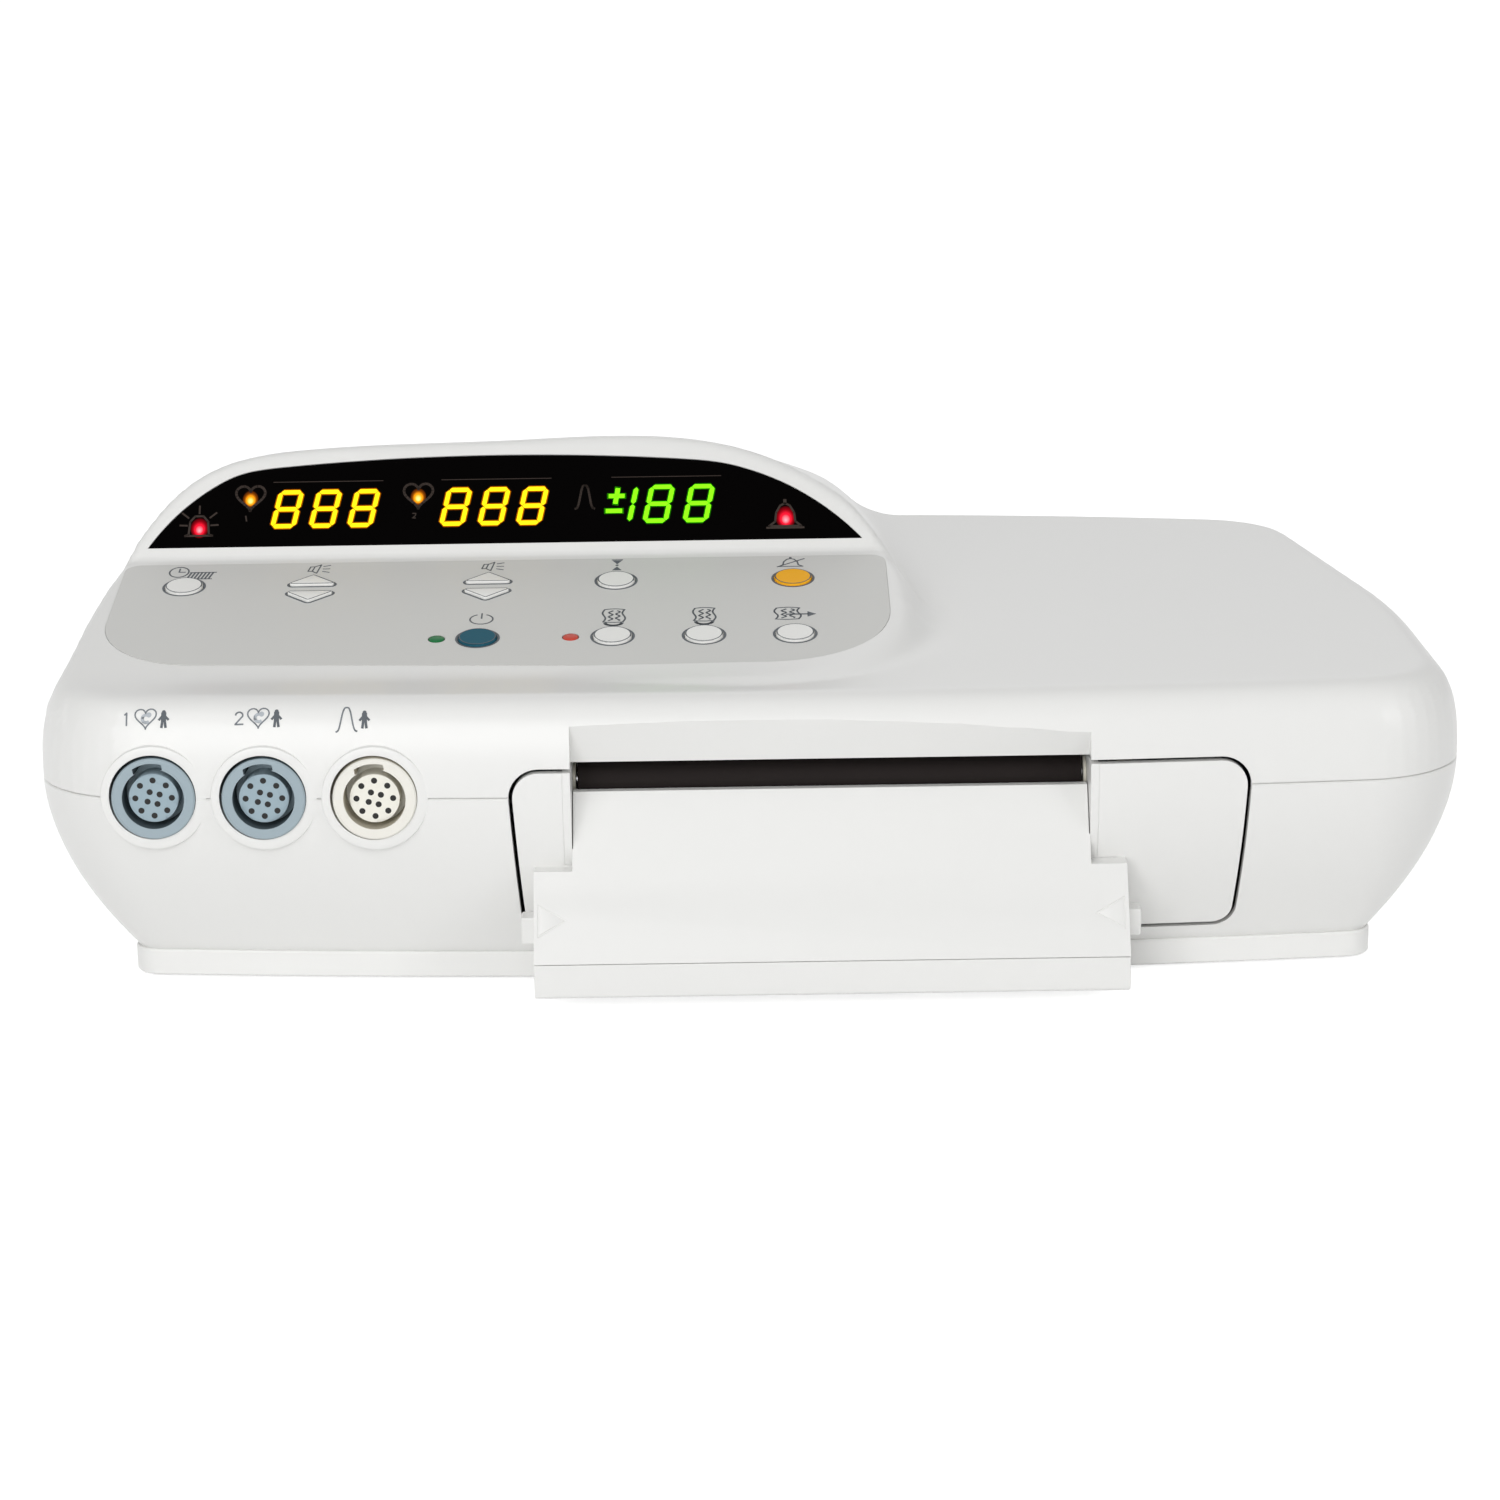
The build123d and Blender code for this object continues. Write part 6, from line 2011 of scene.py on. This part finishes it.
@dataclass
class Display:
    """Dark window with its figures and lamps."""

    digit_height: float = 14.0
    digit_width: float = 7.0
    slant: float = 0.2
    line: float = 1.5
    foot: float = 11.3
    pitch: float = 12.9
    groups: tuple = (-159.6, -102.8)
    green_digits: tuple = (-34.4, -20.9)
    one_right: float = -39.6
    trim: float = 0.12
    rule: tuple = (37.0, 28.4)
    red: ClassVar[tuple] = ((255, 150, 160), (226, 24, 48), (120, 4, 14), (22, 3, 5))
    amber: ClassVar[tuple] = ((255, 232, 140), (240, 150, 20), (110, 52, 4), (12, 6, 5))
    glows: tuple = (("alarm_glow_left", 3.1, red), ("alarm_glow_right", 3.5, red),
                    ("pulse_glow_1", 2.7, amber), ("pulse_glow_2", 2.7, amber))
    rules_left: tuple = (-159.6, -102.8, -45.4)
    pane_low: float = -2.2
    pane_round: float = 0.25
    face: float = -0.2
    halo: float = 0.38
    figure_rise: float = 0.03

    def segments(self, x: float, grow: float = 0.0) -> list[Fill]:
        """Seven bars with pointed ends, leaning to the right, that make the figure eight.

        Args:
            x: left end of the figure.
            grow: how far each bar is grown.

        Returns:
            The bars: three level ones, then two on each side.
        """
        high, wide, t = self.digit_height, self.digit_width, self.line + 2 * grow
        bars = []
        for level in (0.0, 0.5, 1.0):
            y = level * (high - self.line) + self.line / 2
            a, b = self.trim - grow, wide - self.trim + grow
            bars.append([(a, y), (a + t / 2, y + t / 2), (b - t / 2, y + t / 2), (b, y),
                         (b - t / 2, y - t / 2), (a + t / 2, y - t / 2)])
        for side in (0.0, wide):
            for low in (0.0, 0.5):
                a = low * (high - self.line) + self.line / 2 + self.trim - grow
                b = a + 0.5 * (high - self.line) - 2 * self.trim + 2 * grow
                bars.append([(side, a), (side + t / 2, a + t / 2), (side + t / 2, b - t / 2),
                             (side, b), (side - t / 2, b - t / 2), (side - t / 2, a + t / 2)])
        return [Fill([(x + a + self.slant * b, self.foot + b) for a, b in bar]) for bar in bars]

    def build(self) -> None:
        """Builds the pane, the figures with their halos, the icons and the glowing lamps."""
        pane = prism("window_pane", PLANS.window(0.0), FORM.glass, self.pane_low, self.face)
        bevel(pane, self.pane_round)
        dress(pane, "housing", Finish.WINDOW, "dark_window", ("display_window",))
        for grow, rise, yellow, green in (
                (self.halo, 0.0, Finish.ORANGE_HALO, Finish.GREEN_HALO),
                (0.0, self.figure_rise, Finish.YELLOW_DIGIT, Finish.GREEN_DIGIT)):
            marks = [bar for left in self.groups for n in range(3)
                     for bar in self.segments(left + n * self.pitch, grow)]
            lay_print_and_shade(f"{yellow.value}_marks", marks, FORM.glass, rise + self.face, yellow)
            marks = [bar for left in self.green_digits for bar in self.segments(left, grow)]
            marks += self.segments(self.one_right - self.digit_width, grow)[5:7]
            marks += self.sign(grow)
            lay_print_and_shade(f"{green.value}_marks", marks, FORM.glass, rise + self.face, green)
        self.icons()
        for (x, w), (name, radius, stops) in zip(Keypad.window_lamps, self.glows):
            self.glow(name, x, w, radius, stops)

    def sign(self, grow: float) -> list[Mark]:
        """Plus and minus sign in front of the green figures.

        Args:
            grow: how far each line is grown.

        Returns:
            The upright, the level line and the line under them.
        """
        x, w, t = -43.7, 21.4, self.line + 1.6 * grow
        return [Stroke([(x - 2.2 - grow, w), (x + 2.2 + grow, w)], t),
                Stroke([(x - 0.4, w - 2.4 - grow), (x + 0.4, w + 2.4 + grow)], t),
                Stroke([(x - 3.2 - grow, w - 5.5), (x + 1.4 + grow, w - 5.5)], t)]

    def icons(self) -> None:
        """Prints the unlit marks: rules, hearts, numbers, the curve, the bell and the lamp."""
        length, level = self.rule
        marks = [Stroke([(left, level), (left + length, level)], 0.25)
                 for left in self.rules_left]
        marks += [Stroke(heart(x, 22.6, 4.9, 10.8), 0.85, True) for x in (-167.2, -110.6)]
        marks.append(Stroke(pressure_curve(-54.4, 21.2, 3.2, 8.6), 0.75))
        marks.append(Stroke([(-168.6, 16.0), (-168.3, 14.2)], 0.5))
        marks.append(Stroke([(-112.4, 16.1), (-111.3, 16.1), (-111.5, 15.2), (-112.5, 14.4),
                             (-111.4, 14.4)], 0.35))
        marks += bell(13.0, 13.6, 4.0, 8.4, 0.7)
        marks.append(Stroke([(6.8, 8.8), (19.2, 8.8)], 0.7))
        x, w = -184.2, 12.6
        marks.append(Stroke([(x - 4.6, w - 3.6), (x - 3.4, w - 3.2), (x - 3.0, w + 1.6),
                             (x - 1.4, w + 3.6), (x + 1.4, w + 3.6), (x + 3.0, w + 1.6),
                             (x + 3.4, w - 3.2), (x + 4.6, w - 3.6)], 0.7, True))
        marks += [Stroke([(x + a, w + b), (x + 1.6 * a, w + 1.6 * b)], 0.6)
                  for a, b in ((-4.0, 0.2), (-3.6, 3.0), (0.0, 4.6), (3.6, 3.0), (4.0, 0.2))]
        lay_print_and_shade("window_icons", marks, FORM.glass, self.face, Finish.UNLIT)

    def glow(self, name: str, x: float, w: float, radius: float,
             stops: Sequence[Colour]) -> None:
        """Lamp behind the pane: a thin disc whose colour fades from its core to its edge.

        The brightest point stands a little under the middle, as rings of growing radius move
        upwards by a third of the radius.

        Args:
            name: the piece's name.
            x: place along X.
            w: place up the window.
            radius: radius of the disc.
            stops: colours from the core to the rim.
        """
        share = np.linspace(0, 1, 13)[:, None]
        angle = np.linspace(0, 2 * math.pi, 40, endpoint=False)[None, :]
        reach = np.maximum(share, 0.01) * radius
        lift = radius * 0.33 * (share - 1)
        rings = [FORM.glass(x + reach * np.cos(angle), w + lift + 1.2 * reach * np.sin(angle),
                            np.full((13, 40), level)) for level in (-0.23, -0.16)]
        mesh = ring_mesh(name, np.concatenate([rings[0][::-1], rings[1]][::-1]))
        colours = np.array([linear(*stop) for stop in stops])
        at = np.linspace(0, 1, len(stops)) ** 0.8
        weight = np.concatenate([share, share[::-1]])[:, 0]
        shades = np.stack([np.interp(weight, at, colours[:, n]) for n in range(4)], axis=1)
        shades = np.repeat(shades, 40, axis=0).reshape(-1)
        attribute = mesh.attributes.new("Glow", "FLOAT_COLOR", "POINT")
        attribute.data.foreach_set("color", shades.astype(np.float32))
        piece = dress(make_object(name, mesh), "housing", Finish.AMBER_GLOW)
        piece.data.materials.clear()
        piece.data.materials.append(glow_material())


def glow_material() -> bpy.types.Material:
    """Material that shines in the colour of the mesh's own attribute.

    Returns:
        The one material that all glowing lamps share.
    """
    found = bpy.data.materials.get("lamp_glow")
    if found:
        return found
    material = bpy.data.materials.new("lamp_glow")
    material.use_nodes = True
    tree = material.node_tree
    shader = tree.nodes["Principled BSDF"]
    colour = tree.nodes.new("ShaderNodeAttribute")
    colour.attribute_name = "Glow"
    tree.links.new(colour.outputs["Color"], shader.inputs["Emission Color"])
    tree.links.new(colour.outputs["Color"], shader.inputs["Base Color"])
    shader.inputs["Emission Strength"].default_value = 0.8
    shader.inputs["Specular IOR Level"].default_value = 0.0
    shader.inputs["Roughness"].default_value = 0.6
    return material


@dataclass
class ShellPrint:
    """Pictograms on the shell above the sockets."""

    slope: float = math.radians(52.0)
    rise: float = 4.6
    step: float = 0.7

    def finer(self, mark: Mark) -> Mark:
        """A mark with points added along its lines, so that it follows the shell.

        Args:
            mark: the mark.

        Returns:
            The same mark, or a finer one if it is a line.
        """
        if not isinstance(mark, Stroke):
            return mark
        line = np.asarray(mark.path, float)
        if mark.closed:
            line = np.concatenate([line, line[:1]])
        run = np.concatenate([[0], np.cumsum(np.linalg.norm(np.diff(line, axis=0), axis=1))])
        extra = np.linspace(0, run[-1], max(2, int(run[-1] / self.step) + 1))
        at = np.unique(np.concatenate([run, extra]).round(3))
        path = np.stack([np.interp(at, run, line[:, n]) for n in (0, 1)], axis=1)
        return Stroke(path, mark.width)

    def build(self, shell: bpy.types.Object) -> None:
        """Lays a number, a heart and a figure, or a curve and a figure, over each socket.

        Args:
            shell: the upper shell that carries them.
        """
        tree = surface_tree(shell.data)
        cos, sin = math.cos(self.slope), math.sin(self.slope)
        normal = Vector((0, -sin, cos))

        def place(x: np.ndarray, up: np.ndarray, height: np.ndarray) -> np.ndarray:
            """Drops points along the slope's normal onto the shell.

            Args:
                x: places along X.
                up: ways up the slope.
                height: heights over it.

            Returns:
                X, Y and Z of each point.
            """
            made = []
            for a, b, h in zip(x, up + self.rise, height):
                start = Vector((a, -134.0 + b * cos, 87.0 + b * sin)) * MM + normal * 0.02
                hit = tree.ray_cast(start, -normal)[0]
                made.append(np.array((hit if hit else start) + normal * h * MM) / MM)
            return np.array(made)

        lines: list[Mark] = []
        figures: list[Mark] = []
        pale: list[Mark] = []
        for x, y, number in ((-182.2, -0.5, 1), (-147.4, -1.6, 2)):
            left = x - 8.5
            if number == 1:
                lines.append(Stroke([(left - 0.6, y + 1.4), (left, y + 2.0), (left, y - 1.9)],
                                    0.45))
            else:
                curl = arc_points(left, y + 0.9, 1.1, 1.05, 170, -20)
                lines.append(Stroke(np.concatenate([curl, [(left - 1.2, y - 1.9),
                                                           (left + 1.2, y - 1.9)]]), 0.45))
            lines.append(Stroke(heart(x - 2.6, y, 3.3, 7.4), 0.4, True))
            pale += [Fill(circle(x - 1.6, y + 1.1, 0.8, 14)),
                     Stroke(arc_points(x - 2.4, y - 0.1, 1.2, 1.2, 60, 300), 0.9)]
            figures += person(x + 3.0, y - 0.3, 5.2)
        lines.append(Stroke(pressure_curve(-122.9, -3.0, 3.2, 7.6), 0.45))
        figures += person(-117.4, -3.2, 5.2)
        for name, marks, finish in (("socket_lines", lines, Finish.PALE_INK),
                                    ("socket_persons", figures, Finish.INK),
                                    ("socket_shades", pale, Finish.GHOST_INK)):
            lay_print_and_shade(name, [self.finer(mark) for mark in marks], place, 0.08, finish,
                        thickness=0.06)


@dataclass
class Inside:
    """Pieces carried over from the CAD model, each with its finish."""

    finishes: tuple = (
        ("rubber_feet", Finish.FOOT), ("case_screws", Finish.STEEL),
        ("display_board", Finish.BOARD), ("rate_display_1", Finish.DISPLAY),
        ("rate_display_2", Finish.DISPLAY), ("pressure_display", Finish.DISPLAY),
        ("switch_board", Finish.BOARD),
        ("input_board", Finish.BOARD), ("chassis_plate", Finish.ZINC),
        ("drawer_runners", Finish.GEAR), ("main_board", Finish.BOARD),
        ("power_supply", Finish.ALUMINIUM), ("speaker", Finish.BLACK),
        ("rear_panel", Finish.ZINC), ("mains_inlet", Finish.BLACK),
        ("ground_stud", Finish.BRASS), ("data_sockets", Finish.BLACK),
        ("stepper_motor", Finish.STEEL), ("gear_bracket", Finish.ZINC),
        ("idler_pin", Finish.STEEL), ("print_head", Finish.ALUMINIUM),
        ("head_bracket", Finish.ZINC),
        ("platen_shaft", Finish.STEEL),
        ("roller_gear", Finish.GEAR), ("idler_gear", Finish.GEAR),
        ("motor_pinion", Finish.BRASS))
    softened_nodes: tuple = ("mains_inlet", "data_sockets", "rear_panel", "chassis_plate",
                             "power_supply", "stepper_motor", "gear_bracket", "head_bracket",
                             "rubber_feet", "ground_stud")

    def build(self, record: dict) -> None:
        """Gives every carried-over node its material, and the visible ones soft edges.

        Args:
            record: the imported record, which names each node's material slot.
        """
        slots = {part["node"]: part["material_slot"] for part in record["subparts"]}
        for node, finish in self.finishes:
            if node in self.softened_nodes:
                dress(softened(f"{node}_piece", node, 0.4), "housing", finish, slots[node],
                      (node,))
            else:
                PALETTE.paint(bpy.data.objects[node], finish)
                LOG.info("%s: carried over", node)


@dataclass
class Studio:
    """Camera, lamps, floor and backdrop.

    The camera's height and distance are in millimetres, its focus in picture points. Each lamp
    has a name, a place and a size in metres and a power in watts.
    """

    height: float = 364.0
    distance: float = 1202.25
    pitch: float = math.radians(15.04)
    roll: float = math.radians(0.86)
    focus: float = 3620.0
    picture: float = 1500.0
    sensor: float = 36.0
    lamps: tuple = (("key", (-0.5, -1.9, 0.75), 1.2, 17.0), ("fill", (1.7, -1.3, 0.9), 1.2, 5.0),
                    ("left_gleam", (-0.85, -0.98, 1.32), 0.35, 2.6),
                    ("right_gleam", (1.3, -1.32, 0.56), 0.3, 1.6),
                    ("rear", (0.2, 1.8, 1.2), 1.2, 2.5))
    aim: tuple = (0.0, 0.0, 0.08)
    ambient: float = 0.4
    floor_reach: float = 9000.0
    floor_grey: float = 0.86
    floor_glow: float = 0.68

    def build(self) -> None:
        """Builds the camera, the lamps, the world and the floor."""
        scene = bpy.context.scene
        scene.view_settings.view_transform = "Standard"
        data = bpy.data.cameras.new("camera")
        data.sensor_width = self.sensor
        data.lens = self.sensor * self.focus / self.picture
        data.clip_start = 0.05
        camera = bpy.data.objects.new("camera", data)
        tilt = Matrix.Rotation(math.pi / 2 - self.pitch, 4, "X")
        camera.matrix_world = (Matrix.Translation((0, -self.distance * MM, self.height * MM))
                               @ tilt @ Matrix.Rotation(-self.roll, 4, "Z"))
        scene.collection.objects.link(camera)
        scene.camera = camera
        for lamp in self.lamps:
            self.lamp(*lamp)
        self.world()
        self.floor()

    def lamp(self, name: str, place: Sequence[float], size: float, power: float) -> None:
        """Square area lamp that faces the object.

        Args:
            name: the lamp's name.
            place: where it stands, in metres.
            size: its side, in metres.
            power: its power, in watts.
        """
        data = bpy.data.lights.new(name, "AREA")
        data.shape = "SQUARE"
        data.size = size
        data.energy = power
        lamp = bpy.data.objects.new(name, data)
        lamp.location = place
        aim = Vector(self.aim) - Vector(place)
        lamp.rotation_euler = aim.to_track_quat("-Z", "Y").to_euler()
        bpy.context.scene.collection.objects.link(lamp)

    def world(self) -> None:
        """Even pale surroundings, plain white for the camera and in mirrors."""
        world = bpy.data.worlds.new("studio")
        bpy.context.scene.world = world
        world.use_nodes = True
        tree = world.node_tree
        light = tree.nodes["Background"]
        light.inputs["Strength"].default_value = self.ambient
        white = tree.nodes.new("ShaderNodeBackground")
        white.inputs["Strength"].default_value = 1.0
        mix = tree.nodes.new("ShaderNodeMixShader")
        tree.links.new(self.seen(tree), mix.inputs["Fac"])
        tree.links.new(light.outputs["Background"], mix.inputs[1])
        tree.links.new(white.outputs["Background"], mix.inputs[2])
        tree.links.new(mix.outputs["Shader"], tree.nodes["World Output"].inputs["Surface"])
        for node in (light, white):
            node.inputs["Color"].default_value = (1.0, 1.0, 1.0, 1.0)

    @staticmethod
    def seen(tree: bpy.types.NodeTree) -> bpy.types.NodeSocket:
        """Socket that is one for camera, glossy and transmission rays.

        Args:
            tree: the nodes to add to.

        Returns:
            The socket.
        """
        path = tree.nodes.new("ShaderNodeLightPath")
        last = path.outputs["Is Camera Ray"]
        for name in ("Is Glossy Ray", "Is Transmission Ray"):
            add = tree.nodes.new("ShaderNodeMath")
            add.operation = "MAXIMUM"
            tree.links.new(last, add.inputs[0])
            tree.links.new(path.outputs[name], add.inputs[1])
            last = add.outputs["Value"]
        return last

    def floor(self) -> None:
        """Pale floor that keeps the object's shadow and runs out to white."""
        reach = self.floor_reach
        corners = [(x, y, 0.0) for x, y in rectangle(-reach, reach, -reach, reach)]
        floor = make_object("floor", make_mesh("floor", corners, [[0, 1, 2, 3]]))
        material = bpy.data.materials.new(Finish.FLOOR.value)
        material.use_nodes = True
        tree = material.node_tree
        shader = tree.nodes["Principled BSDF"]
        shader.inputs["Base Color"].default_value = (*[self.floor_grey] * 3, 1.0)
        shader.inputs["Roughness"].default_value = 0.9
        glow = tree.nodes.new("ShaderNodeEmission")
        add = tree.nodes.new("ShaderNodeAddShader")
        weight = tree.nodes.new("ShaderNodeMath")
        weight.operation = "MULTIPLY"
        weight.inputs[1].default_value = self.floor_glow
        tree.links.new(self.seen(tree), weight.inputs[0])
        tree.links.new(weight.outputs["Value"], glow.inputs["Strength"])
        tree.links.new(shader.outputs["BSDF"], add.inputs[0])
        tree.links.new(glow.outputs["Emission"], add.inputs[1])
        tree.links.new(add.outputs["Shader"], tree.nodes["Material Output"].inputs["Surface"])
        floor.data.materials.append(material)


def main() -> None:
    """Builds every sub-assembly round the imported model."""
    logging.basicConfig(level=logging.INFO, format="%(name)s %(message)s")
    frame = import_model()
    sockets, keypad, housing = Sockets(), Keypad(), Housing()
    shell = housing.build_upper(sockets, keypad)
    housing.build_lower(sockets)
    ShellPrint().build(shell)
    keypad.build()
    Display().build()
    sockets.build()
    Drawer().build()
    Roller().build()
    Inside().build(frame["record"])
    Studio().build()


if __name__ == "__main__":
    main()
